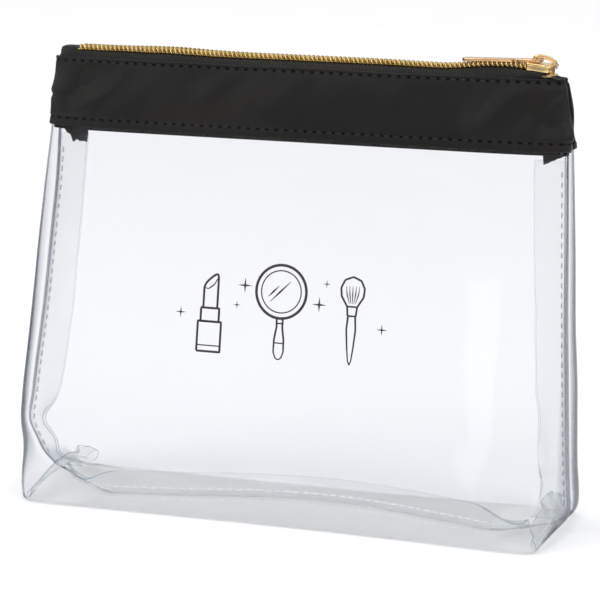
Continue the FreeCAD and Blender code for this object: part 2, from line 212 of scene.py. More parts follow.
def end_x(end, across, depth_share, z, out=0.0):
    """X at a share of the way from the middle to an end; depth_share is the share of the depth."""
    corner = along(CORNER_LINE[end], z) + end * out
    seam = along(SEAM_LINE[end], z) + end * (out + SEAM_VALLEY)
    wedge = 2 - 0.8 * bump(z, 22 * MM, 13 * MM) if end < 0 else 1.6
    swell = (seam - corner) * (1 - depth_share ** wedge) * across ** 6
    return SHIFT + across * (corner - SHIFT) + swell


def wall(z, angle, side, out=0.0, turn_up=0.0):
    """A point round the pouch at a height, from the right seam at 0 to the left seam at pi."""
    power = squareness(z)
    across, sideways = math.cos(angle), abs(math.sin(angle))
    reach = (abs(across) ** power + sideways ** power) ** (-1 / power)
    long_edge = smooth((sideways * reach - 0.55) / 0.4)
    y = (half_depth(z) + out - turn_up * long_edge) * reach * sideways
    end = 1 if across > 0 else -1
    x = end_x(end, abs(across) * reach, sideways * reach, z, out)
    x -= end * SEAM_VALLEY * (math.exp(-y / SEAM_REACH) + 0.7 * math.exp(-y / SEAM_PINCH))
    y += ripple(x, z, side) * smooth(y / (12 * MM))
    return x, side * y


def end_wall_x(end, y, z):
    """X of an end wall at a distance from the middle plane."""
    power = squareness(z)
    share = min(abs(y) / half_depth(z), 0.98)
    x = end_x(end, (1 - share ** power) ** (1 / power), share, z)
    return x - end * SEAM_VALLEY * math.exp(-abs(y) / SEAM_REACH)


def depth_at(x, z, out=0.0):
    """How far the wall stands from the middle plane at a place along the pouch."""
    end = 1 if x > SHIFT else -1
    reach = abs(along(CORNER_LINE[end], z) - SHIFT) + out
    across = min(abs(x - SHIFT) / reach, 0.9995)
    power = squareness(z)
    return (half_depth(z) + out) * (1 - across ** power) ** (1 / power)


def on_face(x, z, side, out=0.0):
    """A point on the front or back wall, straight out from a place along and up the pouch."""
    return settle(x, side * (depth_at(x, z, out) + ripple(x, z, side)), z)


# ---------------------------------------------------------------- mesh helpers
def new_piece(name, points, faces, material, smooth_angle=None):
    """A mesh object whose points are in the shared frame."""
    mesh = bpy.data.meshes.new(name)
    mesh.from_pydata([tuple(p) for p in points], [], faces)
    mesh.update()
    return finished(name, mesh, material, smooth_angle)


def linked(name, data):
    """A new object in the scene."""
    holder = bpy.data.objects.new(name, data)
    bpy.context.scene.collection.objects.link(holder)
    return holder


def finished(name, mesh, material, smooth_angle=None):
    """A piece: its mesh welded, with its faces outwards and its material."""
    piece = linked(name, mesh)
    shape = bmesh.new()
    shape.from_mesh(piece.data)
    bmesh.ops.remove_doubles(shape, verts=shape.verts, dist=1e-6)
    bmesh.ops.recalc_face_normals(shape, faces=shape.faces)
    shape.to_mesh(piece.data)
    shape.free()
    piece.data.shade_smooth()
    if smooth_angle:
        piece.data.set_sharp_from_angle(angle=math.radians(smooth_angle))
    piece.data.materials.clear()
    piece.data.materials.append(material)
    return piece


def joined(name, pieces):
    """Several meshes as one piece."""
    whole = pieces[0]
    with bpy.context.temp_override(active_object=whole, selected_editable_objects=pieces):
        bpy.ops.object.join()
    whole.name = name
    return whole


def grid(rows, points, faces, closed=False):
    """Adds a grid of points, row by row, to a mesh's lists."""
    base, width = len(points), len(rows[0])
    for row in rows:
        points.extend(row)
    last = len(rows) if closed else len(rows) - 1
    for r in range(last):
        low, high = base + r * width, base + (r + 1) % len(rows) * width
        faces.extend((low + c, low + c + 1, high + c + 1, high + c) for c in range(width - 1))


def strip(name, rows, material, smooth_angle=None):
    """A closed band: rows run along it, and together go once round its section."""
    points, faces = [], []
    grid(rows, points, faces, closed=True)
    width = len(rows[0])
    faces.append([r * width for r in range(len(rows))])
    faces.append([r * width + width - 1 for r in range(len(rows))][::-1])
    return new_piece(name, points, faces, material, smooth_angle)


def thicken(piece, thickness, offset=-1.0, edge=None):
    """Gives a sheet its thickness, with its own material on the cut edges, and applies it."""
    modifier = piece.modifiers.new("thickness", "SOLIDIFY")
    modifier.thickness = thickness
    modifier.offset = offset
    if edge:
        piece.data.materials.append(edge)
        modifier.material_offset_rim = len(piece.data.materials) - 1
    made = mesh_made_by(piece)
    piece.modifiers.clear()
    piece.data = made


def clear_foot(piece, is_free):
    """Only the free cut edge keeps the edge's look; the sewn edge takes the sheet's own."""
    for face in piece.data.polygons:
        if face.material_index == len(piece.data.materials) - 1 and not is_free(face.center):
            face.material_index = 0


def mesh_made_by(holder):
    """The mesh that an object shows, with its bevel or modifiers."""
    graph = bpy.context.evaluated_depsgraph_get()
    return bpy.data.meshes.new_from_object(holder.evaluated_get(graph))


def mesh_of_curve(curve):
    """The mesh that a curve's bevel makes."""
    holder = linked("outline", curve)
    bpy.context.view_layer.update()
    mesh = mesh_made_by(holder)
    bpy.data.objects.remove(holder)
    return mesh


def resample(points, count):
    """Evenly spaced points along a line of points."""
    reach = [0.0]
    for a, b in zip(points, points[1:]):
        reach.append(reach[-1] + (b - a).length)
    made, at = [], 0
    for step in range(count):
        want = reach[-1] * step / (count - 1)
        while at < len(points) - 2 and reach[at + 1] < want:
            at += 1
        share = (want - reach[at]) / max(reach[at + 1] - reach[at], 1e-9)
        made.append(points[at].lerp(points[at + 1], min(max(share, 0.0), 1.0)))
    return made


def length_of(points):
    """The length of a line of points."""
    return sum((b - a).length for a, b in zip(points, points[1:]))


def heading(line, index):
    """The way that a line of points runs at one of them."""
    return line[min(index + 1, len(line) - 1)] - line[max(index - 1, 0)]


def rod_faces(base, rings, sides, faces):
    """Adds a rod's faces: each ring of points joined to the next, and both ends closed."""
    for ring in range(rings - 1):
        for corner in range(sides):
            a, b = base + ring * sides, base + (ring + 1) * sides
            following = (corner + 1) % sides
            faces.append((a + corner, a + following, b + following, b + corner))
    faces.append([base + corner for corner in range(sides)][::-1])
    faces.append([base + (rings - 1) * sides + corner for corner in range(sides)])


def tube(path, radii, points, faces, sides=8):
    """Adds a round rod along a path of points; radii has one radius for each."""
    base = len(points)
    for index, (centre, radius) in enumerate(zip(path, radii)):
        turn = heading(path, index).to_track_quat("Z", "Y")
        for corner in range(sides):
            angle = 2 * math.pi * corner / sides
            points.append(centre + turn @ Vector((radius * math.cos(angle),
                                                  radius * math.sin(angle), 0)))
    rod_faces(base, len(path), sides, faces)


# ---------------------------------------------------------------- materials
class Look:
    """The node tree of a material or a world; most methods add one node and give its output."""

    def __init__(self, owner, kind="Material"):
        owner.use_nodes = True
        self.nodes, self.links = owner.node_tree.nodes, owner.node_tree.links
        self.nodes.clear()
        self.output = self.nodes.new("ShaderNodeOutput" + kind)

    def feed(self, socket, value):
        """Sets a socket's number or colour, or links it to a node or to a node's output."""
        if isinstance(value, bpy.types.Node):
            value = value.outputs[0]
        if isinstance(value, bpy.types.NodeSocket):
            self.links.new(value, socket)
        else:
            socket.default_value = value

    def node(self, kind, inputs=None):
        """A new node, with what goes into its inputs."""
        node = self.nodes.new("ShaderNode" + kind)
        for name, value in (inputs or {}).items():
            self.feed(node.inputs[name], value)
        return node

    def mapped(self, inputs):
        """The object's own metres, which are the shared frame's, turned or stretched."""
        return self.node("Mapping", {"Vector": self.node("TexCoord").outputs["Object"], **inputs})

    def noise(self, scale, detail=3.0, stretch=(1, 1, 1)):
        """Cloudy noise through the object; a higher scale gives finer clouds."""
        place = self.mapped({"Scale": stretch})
        return self.node("TexNoise", {"Vector": place, "Scale": scale,
                                      "Detail": detail}).outputs["Fac"]

    def ribs(self, scale, turn, distortion):
        """Straight ribs across the turned X axis."""
        place = self.mapped({"Rotation": turn})
        return self.node("TexWave", {"Vector": place, "Scale": scale, "Distortion": distortion,
                                     "Detail": 1.0}).outputs["Fac"]

    def ramp(self, source, stops):
        """A colour ramp over a factor; stops are (place, colour)."""
        node = self.node("ValToRGB", {"Fac": source})
        elements = node.color_ramp.elements
        for element, (place, colour) in zip(elements, (stops[0], stops[-1])):
            element.position = place
            element.color = (*colour, 1)
        for place, colour in stops[1:-1]:
            elements.new(place).color = (*colour, 1)
        return node.outputs["Color"]

    def bump(self, height, distance, under=None):
        """A bump of a given depth in metres, over the one under it."""
        inputs = {"Strength": 1.0, "Distance": distance, "Height": height}
        return self.node("Bump", {**inputs, "Normal": under} if under else inputs)

    def math(self, operation, *values):
        """A sum worked out by the shader."""
        node = self.nodes.new("ShaderNodeMath")
        node.operation = operation
        for socket, value in zip(node.inputs, values):
            self.feed(socket, value)
        return node

    def mix(self, share, first, second):
        """One shader over another."""
        return self.node("MixShader", {0: share, 1: first, 2: second})

    def tint(self, share, first, second, way="MIX"):
        """One colour over another."""
        node = self.nodes.new("ShaderNodeMix")
        node.data_type = "RGBA"
        node.blend_type = way
        for index, value in ((0, share), (6, first), (7, second)):
            self.feed(node.inputs[index], value)
        return node.outputs[2]

    def show(self, shader):
        """Puts a shader on the surface."""
        self.feed(self.output.inputs["Surface"], shader)


def clear_film(name, haze, clear_tint, edge_tint, dark_from=0.84):
    """Clear vinyl: see-through face on, darker and more mirror-like at a glancing angle."""
    material = bpy.data.materials.new(name)
    look = Look(material)
    skin = look.bump(look.noise(46, 2.0, (1, 1, 0.7)), 0.25 * MM)
    facing = look.node("LayerWeight", {"Blend": 0.5, "Normal": skin}).outputs["Facing"]
    mirror = look.math("MULTIPLY_ADD", look.math("POWER", facing, 5.0), 0.45, 0.012)
    # At glancing angles the see-through colour turns to edge_tint: partly the longer path through the film,
    # partly painted shade for the dark surroundings that refraction shows along curved film and edges.
    stops = [(0.0, clear_tint), (dark_from, clear_tint)]
    for share in (0.2, 0.55, 1.0):
        stops.append((dark_from + (1 - dark_from) * (0.2 + 0.8 * share),
                      [a + (b - a) * share for a, b in zip(clear_tint, edge_tint)]))
    clear = look.node("BsdfTransparent", {"Color": look.ramp(facing, stops)})
    gloss = look.node("BsdfGlossy", {"Color": (0.965, 0.967, 0.972, 1), "Roughness": 0.06,
                                     "Normal": skin})
    veil = look.node("BsdfDiffuse", {"Color": (0.90, 0.91, 0.93, 1)})
    milk = look.math("MULTIPLY", look.noise(30, 4.0), haze)
    look.show(look.mix(milk, look.mix(mirror, clear, gloss), veil))
    return material


def cloth(name, dark, light, weave_scale, roughness, sheen, turn=(0, 0, 0), depth=0.04 * MM,
          shine=0.30, painted_hole_shade=None):
    """A woven black cloth: ribs, uneven tone and a soft sheen; the last argument names the attribute of its
    needle holes, which get painted shade.
    """
    material = bpy.data.materials.new(name)
    look = Look(material)
    colour = look.ramp(look.noise(26, 4.0, (1, 1, 1.8)), [(0.3, dark), (0.72, light)])
    weave = look.bump(look.ribs(weave_scale, turn, 0.4), depth)
    gloss = look.ramp(look.noise(60), [(0.25, (roughness - 0.08,) * 3),
                                       (0.75, (roughness + 0.08,) * 3)])
    # Painted shade: the needle holes are darkened to near black and lose their gloss.
    if painted_hole_shade:
        holes = look.node("Attribute")
        holes.attribute_name = painted_hole_shade
        colour = look.tint(holes.outputs["Fac"], colour, (0.0008, 0.0008, 0.0008, 1))
        shine = look.math("MULTIPLY_ADD", holes.outputs["Fac"], -shine, shine)
    look.show(look.node("BsdfPrincipled", {
        "Base Color": colour, "Roughness": gloss, "Specular IOR Level": shine,
        "Normal": look.bump(look.noise(2600, 2.0), 0.02 * MM, weave), "Sheen Weight": sheen,
        "Sheen Roughness": 0.45, "Sheen Tint": (0.9, 0.82, 0.76, 1)}))
    return material


def metal(name, dark, light, roughness):
    """Plated metal: a slightly uneven tone and fine scratches."""
    material = bpy.data.materials.new(name)
    look = Look(material)
    tone = look.noise(180)
    scratches = look.bump(look.noise(900, 2.0, (0.15, 1, 1)), 0.012 * MM)
    look.show(look.node("BsdfPrincipled", {
        "Base Color": look.ramp(tone, [(0.3, dark), (0.7, light)]), "Metallic": 1.0,
        "Roughness": look.ramp(tone, [(0.3, (roughness - 0.05,) * 3),
                                      (0.8, (roughness + 0.06,) * 3)]), "Normal": scratches}))
    return material


def matt(name, dark, light, scale, roughness):
    """Ink or thread: a matt tone with a fine grain."""
    material = bpy.data.materials.new(name)
    look = Look(material)
    grain = look.noise(scale, 4.0)
    look.show(look.node("BsdfPrincipled", {
        "Base Color": look.ramp(grain, [(0.3, dark), (0.7, light)]), "Roughness": roughness,
        "Normal": look.bump(grain, 0.03 * MM)}))
    return material


CLEAR = (0.9625, 0.9645, 0.9735)
FILM_SKIN = clear_film("clear_vinyl", 0.010, CLEAR, (0.09, 0.12, 0.18), 0.46)
BASE_SKIN = clear_film("clear_vinyl_base", 0.015, (0.974, 0.975, 0.970), (0.30, 0.33, 0.38), 0.86)
# The sewn and cut edge looks are darker still: partly the film seen edge on, partly painted shade for the
# dark lines that refraction draws along those edges.
SEWN_EDGE = clear_film("sewn_vinyl_edge", 0.2, (0.16, 0.19, 0.25), (0.08, 0.10, 0.13))
FOLD_SKIN = clear_film("folded_vinyl", 0.020, (0.978, 0.981, 0.981), (0.18, 0.25, 0.32), 0.88)
CUT_EDGE = clear_film("cut_vinyl_edge", 0.3, (0.60, 0.67, 0.74), (0.25, 0.30, 0.36))
# The satin's needle holes take painted shade from the pit attribute.
SATIN = cloth("black_satin", (0.0080, 0.0075, 0.0072), (0.0140, 0.0125, 0.0115), 3200, 0.34, 0.04,
              painted_hole_shade="pit")
LINING = cloth("ribbed_lining", (0.004, 0.004, 0.004), (0.009, 0.0085, 0.008), 800, 0.7, 0.01,
               depth=0.2 * MM, shine=0.08)
TWILL = cloth("twill_tape", (0.008, 0.008, 0.008), (0.015, 0.0145, 0.0145), 330, 0.6, 0.08,
              (0, math.radians(42), 0), 0.5 * MM)
DARK_THREAD = matt("black_thread", (0.006, 0.006, 0.006), (0.02, 0.019, 0.018), 4000, 0.5)
CLEAR_THREAD = matt("clear_thread", (0.80, 0.83, 0.85), (0.95, 0.96, 0.97), 3000, 0.35)
# A darker copy of the clear thread: painted shade for the side stitches, which lie inside the side seams.
SHADED_CLEAR_THREAD = matt("clear_thread_in_shade", (0.50, 0.53, 0.57), (0.74, 0.76, 0.79), 3000, 0.35)
GOLD_COIL = metal("gold_coil", (0.62, 0.42, 0.12), (0.84, 0.64, 0.27), 0.32)
GOLD = metal("gold_plate", (0.78, 0.53, 0.22), (0.90, 0.66, 0.34), 0.2)
ROSE_GOLD = metal("rose_gold_plate", (0.62, 0.37, 0.18), (0.78, 0.52, 0.30), 0.20)
INK = matt("print_ink", (0.018, 0.016, 0.017), (0.032, 0.029, 0.03), 1500, 0.55)


# ---------------------------------------------------------------- how pieces ride
# Inside the slider: where the coil rows start to part and where they're apart, and by how much.
PARTING, PARTED = SLIDER_LOW.x + 3.7 * MM, SLIDER_LOW.x + 7.7 * MM
PARTED_BY = 1.1 * MM
# How far from the middle the lips open at all, and fully, and how far above the fold they bend.
LIP_REACH = 95 * MM
LIP_FULL = 15 * MM
LIP_BEND = 26 * MM
LIP_TURN = math.radians(12)


def lip_share(x):
    """How far the wall follows its lip: spread by the open slider, then wide, then shut again."""
    spread_share = PARTED_BY / ((TAPE_TOP - FOLD) * math.sin(LIP_TURN))
    spread_share *= smooth((x + TRAVEL - PARTING) / (PARTED - PARTING))
    front = SLIDER_HIGH.x - TRAVEL
    wide = smooth((x - front) / (SHIFT - LIP_FULL - front))
    shut = smooth((SHIFT + LIP_REACH - x) / (LIP_REACH - LIP_FULL))
    return (spread_share + (1 - spread_share) * wide) * shut


def hang_on_lip(piece, lip):
    """The piece follows its lip at the middle, and the root at both ends and at the fold."""
    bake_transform(piece, "root", lip, start=(SHIFT - LIP_REACH, 0, 0), end=(SHIFT - LIP_FULL, 0, 0))
    weights = piece.data.attributes["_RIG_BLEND"].data
    for vertex in piece.data.vertices:
        up = (vertex.co.z - FOLD) / LIP_BEND
        weights[vertex.index].value = lip_share(vertex.co.x) * smooth(up)


# ---------------------------------------------------------------- film panels
def base_seam_y(x):
    """The base seam wanders: forward at both ends, back in the middle."""
    middle = max(0.0, math.cos(math.pi * (x - 10 * MM) / (210 * MM))) ** 2
    free = 1 - smooth((abs(x - SHIFT) - 95 * MM) / (12 * MM))
    return (21 * middle - 9) * MM * free


END_STEPS = 26
FACE_STEPS = 84
QUARTER = math.pi / 4
end_angles = [QUARTER * (step / END_STEPS) ** 1.45 for step in range(END_STEPS)]
face_angles = [QUARTER + 2 * QUARTER * step / FACE_STEPS for step in range(FACE_STEPS + 1)]
ANGLES = end_angles + face_angles + [math.pi - angle for angle in end_angles[::-1]]
FILM_TOP = RIM - 4 * MM
SEAM_TUCK, SEAM_GAP = 1.3 * MM, 0.62 * MM


def wall_levels():
    """Heights and turn-ups of the film's rows: the rounded base edge, then the wall."""
    rows = []
    for step in range(8):
        turn = math.pi / 2 * step / 8
        rows.append((BASE_ROUND * (1 - math.cos(turn)), BASE_ROUND * (1 - math.sin(turn))))
    z = BASE_ROUND
    while z < FILM_TOP:
        rows.append((z, 0.0))
        z += 1.5 * MM if z < 34 * MM else 2.6 * MM
    rows.append((FILM_TOP, 0.0))
    return rows


def meet_at_seams(row, side):
    """A row's two ends, turned in and brought together at the side seams."""
    for index, back in ((0, -1), (-1, 1)):
        row[index] = (row[index][0] + back * SEAM_TUCK, side * SEAM_GAP)
    return row


def film_panel(name, side):
    """One cut panel: its half of the base, the round base edge and the wall up to the zip."""
    points, faces, rows = [], [], []
    for z, turn_up in wall_levels():
        row = meet_at_seams([wall(z, angle, side, 0.0, turn_up) for angle in ANGLES], side)
        rows.append([settle(x, y, z) for x, y in row])
    grid(rows, points, faces)
    edge = meet_at_seams([wall(0.0, angle, side, 0.0, BASE_ROUND) for angle in ANGLES], side)
    right, left = edge[:END_STEPS + 1][::-1], edge[-END_STEPS - 1:]
    long_edge = edge[END_STEPS:-END_STEPS]
    base = []
    for step in range(END_STEPS + 1):
        v = step / END_STEPS
        row = []
        for column, (x0, y0) in enumerate(long_edge):
            u = column / (len(long_edge) - 1)
            x = (1 - u) * right[step][0] + u * left[step][0]
            x += (1 - v) * (x0 - (1 - u) * right[0][0] - u * left[0][0])
            y_end = (1 - u) * right[step][1] + u * left[step][1]
            y = y_end + (1 - v) * (y0 - (1 - u) * right[0][1] - u * left[0][1])
            y += v * base_seam_y(x)
            row.append(settle(x, y, 0.0))
        base.append(row)
    grid(base, points, faces)
    piece = new_piece(name, points, faces, FILM_SKIN)
    centre = min(piece.data.polygons, key=lambda face: (face.center - rows[40][70]).length)
    if centre.normal.y * side < 0:
        piece.data.flip_normals()
    piece.data.materials.append(BASE_SKIN)
    for face in piece.data.polygons:
        face.material_index = 1 if abs(face.normal.z) > 0.85 and face.center.z < 9 * MM else 0
    thicken(piece, FILM, edge=SEWN_EDGE)
    clear_foot(piece, lambda at: at.z > 5 * MM)
    return piece


for word, side in SIDES.items():
    panel = film_panel(word + "_panel", side)
    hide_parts(word + "_panel_lower", word + "_panel_upper")
    hang_on_lip(panel, word + "_lip")


# ---------------------------------------------------------------- side seam allowances
def seam_x(end, z, inset):
    """X of the side seam at a height, inset from its valley."""
    return along(SEAM_LINE[end], z) - end * inset


def seam_lean(end, z):
    """The angle by which the allowance turns to the front, in radians."""
    degrees = 27 * bump(z, 29 * MM, 8 * MM) + 24 * bump(z, 13 * MM, 6 * MM)
    if end > 0:
        degrees = 30 * bump(z, 22 * MM, 9 * MM) - 18 * bump(z, 44 * MM, 14 * MM)
    return math.radians(degrees + 5 * math.sin(z / (17 * MM)))


def seam_place(end, z, inset, off):
    """A point of the allowance, inset from the seam's valley; off is beside its mid plane."""
    bend = max(0.0, inset - STITCH_INSET)
    lean = seam_lean(end, z) * min(bend / (8 * MM), 1.2)
    reach = min(inset, STITCH_INSET) + bend * math.cos(lean)
    fold = (28 if end < 0 else 21) * MM + 0.4 * bend
    crease = bend * 0.14 * math.exp(-abs(z - fold) / (1.1 * MM))
    y = -bend * math.sin(lean) + off * math.cos(lean) - crease
    x = seam_x(end, z, reach) + end * -off * math.sin(lean)
    return Vector((x, y, z + CORNER_RISE[end] * math.exp(-(z / (10 * MM)) ** 2)))


def folded_seam(name, ply_rows, is_free):
    """A seam's allowance: two plies of film, with the cut edge's look on their free edges."""
    points, faces = [], []
    for ply in (-1, 1):
        grid(ply_rows(ply), points, faces)
    seam = new_piece(name, points, faces, FOLD_SKIN)
    thicken(seam, PLY, 0.0, CUT_EDGE)
    clear_foot(seam, is_free)
    return seam


def allowance_width(end, z):
    """The cut edge isn't quite straight."""
    wobble = 0.5 * MM * drift(z / 0.021, end, 0)
    return STITCH_INSET + ALLOWANCE - 1.6 * MM * bump(z, 20 * MM, 14 * MM) + wobble


def side_rows(end, ply, steps=96, columns=14):
    """One ply of a side seam's allowance, which parts a little from the other."""
    rows = []
    for step in range(steps + 1):
        z = 2 * MM + (SEAM_TOP - 2 * MM) * step / steps
        width = allowance_width(end, z)
        row = []
        for column in range(columns + 1):
            inset = 0.9 * MM + (width - 0.9 * MM) * column / columns
            part = 0.45 * MM * (column / columns) ** 2
            gap = 0.21 * MM + part * (1 + drift(z / 0.013, ply, end))
            row.append(seam_place(end, z, inset, ply * gap))
        rows.append(row)
    return rows


for word, end in ENDS.items():
    seam = folded_seam(word + "_side_seam", lambda ply: side_rows(end, ply),
                       lambda at: end * (seam_x(end, at.z, STITCH_INSET) - at.x) > 0)
    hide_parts("side_seam_" + word)
    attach(seam, "root")


# ---------------------------------------------------------------- stitches
def every(points, pitch):
    """Places along a line of points, one pitch apart, and how far along the list each is."""
    made, want, reach = [], 0.0, 0.0
    for at, (a, b) in enumerate(zip(points, points[1:])):
        step = (b - a).length
        while want <= reach + step and step > 0:
            share = (want - reach) / step
            made.append((a.lerp(b, share), at + share))
            want += pitch
        reach += step
    return made


# How far along one stitch, how high, and how thick; the last two are in thread radii.
STITCH_SHAPE = ((0.0, -1.2, 0.55), (0.10, 0.0, 0.85), (0.3, 0.6, 1.0), (0.5, 0.7, 1.0),
                (0.7, 0.6, 1.0), (0.90, 0.0, 0.85), (1.0, -1.2, 0.55))


def stitch_row(name, line, lift, radius, material, share=0.78, trim=0):
    """Separate stitches along a line of (point, way out) pairs; each dips in at both ends."""
    points, faces = [], []
    holes = every([place for place, _ in line], STITCH_PITCH)
    holes = holes[trim:len(holes) - trim]
    for (start, first), (stop, last) in zip(holes, holes[1:]):
        way = line[int((first + last) / 2)][1].normalized()
        path, radii = [], []
        for part, height, width in STITCH_SHAPE:
            place = start.lerp(stop, (1 - share) / 2 + share * part)
            path.append(place + way * (lift + height * radius))
            radii.append(radius * width)
        tube(path, radii, points, faces, 7)
    return new_piece(name, points, faces, material)


for word, end in ENDS.items():
    lines = []
    for ply in (-1, 1):
        lines.append([(seam_place(end, z * MM, STITCH_INSET, ply * 0.4 * MM), Vector((0, ply, 0)))
                      for z in range(9, round(END_LOW / MM) + 4)])
    # The side stitches take the darker copy of the clear thread, as painted shade.
    rows = [stitch_row("row", line, 0.0, 0.19 * MM, SHADED_CLEAR_THREAD, 0.55) for line in lines]
    piece = joined(word + "_side_stitches", rows)
    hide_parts("side_stitches_" + word)
    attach(piece, "root")


# ---------------------------------------------------------------- base and corner seams
def base_place(x, height, off):
    """A point of the standing base seam; off is beside its mid plane."""
    share = height / BASE_ALLOWANCE
    curl = -1.15 * bump(x, -87 * MM, 8 * MM) - 0.75 * bump(x, -100 * MM, 8 * MM)
    curl -= 1.35 * smooth((x - 74 * MM) / (28 * MM))
    lean = (0.08 + curl) * (0.4 + 0.6 * share)
    wave = 0.5 * MM * drift(x / 0.019, height / 0.02, 0) * share
    y = base_seam_y(x) + height * math.sin(lean) + off + wave
    foot = settle(x, base_seam_y(x), 0.0)
    return Vector((x, y, foot.z + FILM + height * math.cos(lean)))


BASE_REACH = 99 * MM


def base_rows(ply, steps=11, half_columns=60):
    """One ply of the standing base seam."""
    rows = []
    for step in range(steps + 1):
        height = 0.1 * MM + (BASE_ALLOWANCE - 0.1 * MM) * step / steps
        part = 0.21 * MM + 0.35 * MM * (step / steps) ** 2
        rows.append([base_place(SHIFT + BASE_REACH * (column / half_columns - 1), height,
                                ply * part * (1 + 0.7 * drift(column / 7, ply, 2)))
                     for column in range(2 * half_columns + 1)])
    return rows


bottom = folded_seam("base_seam", base_rows, lambda at: at.z > STITCH_INSET)
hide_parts("bottom_seam")
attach(bottom, "root")

for word, side in SIDES.items():
    line = [(base_place(SHIFT + BASE_REACH * (step / 50 - 1) * 0.97, 2.3 * MM, side * 0.42 * MM),
             Vector((0, side, 0))) for step in range(101)]
    row = stitch_row(word + "_base_stitches", line, 0.05 * MM, 0.26 * MM, CLEAR_THREAD, 0.8)
    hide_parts("bottom_stitches_" + word)
    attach(row, "root")


def corner_place(end, y, height, off):
    """A point of a boxed corner's allowance, which leans inwards; off is beside its mid plane."""
    lean = math.radians(30 + 14 * drift(y / 0.012, end, 5))
    foot = settle(end_wall_x(end, y, 0.0) - end * 0.6 * MM, y, 0.0)
    crush = CORNER_CRUSH[end] * drift(y / 0.008, height / 0.012, 9 * end)
    off += crush * height / CORNER_ALLOWANCE
    turn = lean * min(1.0, height / (3 * MM)) ** 0.5
    inward = height * math.sin(turn) + off * math.cos(turn)
    rise = height * math.cos(turn) - off * math.sin(turn)
    return Vector((foot.x - end * inward, y, foot.z + 0.7 * MM + max(rise, -0.2 * MM)))


def corner_rows(end, ply, steps=11, half_columns=40):
    """One ply of a corner seam's allowance, tallest away from the front and looser at the back."""
    rows = []
    for step in range(steps + 1):
        share = step / steps
        row = []
        for column in range(2 * half_columns + 1):
            y = CORNER_REACH * (column / half_columns - 1)
            tall = CORNER_ALLOWANCE * (0.5 + 0.5 * smooth((CORNER_REACH + y) / (16 * MM)))
            tall += 3.4 * MM * bump(y, 6 * MM, 12 * MM) if end > 0 else 0.0
            loose = 2.0 + 4.4 * smooth((y - 14 * MM) / (16 * MM))
            gap = (0.22 + loose * share * (1 - share)) * MM
            row.append(corner_place(end, y, 0.1 * MM + tall * share, ply * gap))
        rows.append(row)
    return rows


for word, end in ENDS.items():
    corner = folded_seam(word + "_corner_seam", lambda ply: corner_rows(end, ply),
                         lambda at: at.z > corner_place(end, at.y, 0.0, 0.0).z + 1.5 * MM)
    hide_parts("corner_seam_" + word)
    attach(corner, "root")
    line = [(corner_place(end, CORNER_REACH * 0.92 * (step / 20 - 1), 2.4 * MM, -end * 0.5 * MM),
             Vector((-end * 0.4, 0, 1))) for step in range(41)]
    row = stitch_row(word + "_corner_stitches", line, 0.0, 0.2 * MM, CLEAR_THREAD)
    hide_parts("corner_stitches_" + word)
    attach(row, "root")


# ---------------------------------------------------------------- satin bands and their facings
def wrapped(z, side, out, count, start=1.3 * MM):
    """Evenly spaced points round half of the pouch at a height, right seam to left seam."""
    first = math.atan(start / (half_depth(z) + out))
    dense = 260
    line = []
    for step in range(dense + 1):
        share = step / dense
        angle = first + (math.pi - 2 * first) * share
        x, y = wall(z, angle, side, out)
        line.append(settle(x, y, z))
    return resample(line, count)


def ways_out(row, side):
    """The level direction out of the pouch at each point of a row."""
    runs = [heading(row, index) for index in range(len(row))]
    return [Vector((run.y, -run.x, 0)).normalized() * side for run in runs]


def satin_relief(s, length, z, side):
    """How far the satin stands proud: slack between its seams, slant folds, puckers, holes."""
    between = math.sin(math.pi * min(max((z - ROW_LOW) / (ROW_HIGH - ROW_LOW), 0.0), 1.0))
    near_end = max(bump(s, 10 * MM, 26 * MM), bump(s, length - 8 * MM, 24 * MM))
    slant = drift((s + 1.0 * z) / 0.013, (z - 0.6 * s) / 0.045, 4.4 * side)
    broad = drift((s - 0.8 * z) / 0.045, z / 0.03, 8.8 * side)
    creases = 0.35 - abs(drift((s + 1.4 * z) / 0.021, (z - s) / 0.06, side))
    folds = (0.5 + 2.0 * near_end) * slant + 0.9 * broad + (0.3 + 2.4 * near_end) * creases
    held = smooth((min(s, length - s) + 1 * MM) / (5 * MM))
    proud = 0.5 * between ** 0.6 + 1.7 * folds * held * between ** 0.5
    proud -= 1.2 * bump(z, BAND_LOW + 12.5 * MM, 1.3 * MM) * bump(s, length, 9 * MM)
    row = min(abs(z - ROW_LOW), abs(z - ROW_HIGH))
    tug = drift(s / 0.0045, z / 0.01, 0)
    proud += 0.16 * tug * math.exp(-row / (2.4 * MM))
    proud -= 0.42 * hole_share(s, row) + 0.22 * math.exp(-(row / (0.5 * MM)) ** 2)
    return (max(proud, -0.6) + 0.3 * bump(z, BAND_LOW, 5 * MM) * bump(s, 4 * MM, 12 * MM)) * MM


def hole_share(s, row):
    """1 in a needle hole: a place along a row of stitches and the distance from the row."""
    hole = s % STITCH_PITCH
    hole = min(hole, STITCH_PITCH - hole)
    return math.exp(-((hole / (0.62 * MM)) ** 2 + (row / (0.42 * MM)) ** 2))


BAND_COUNT = 640


def band_levels():
    """Heights of the band's outer face, closer together at its two rows of stitches."""
    steps = 34
    low, high = BAND_LOW + BAND_ROUND, RIM - BAND_ROUND
    levels = [low + (high - low) * step / steps for step in range(steps + 1)]
    for row in (ROW_LOW, ROW_HIGH):
        levels = [z for z in levels if abs(z - row) > 1.1 * MM]
        levels += [row + step * 0.25 * MM for step in range(-4, 5)]
    return sorted(levels)


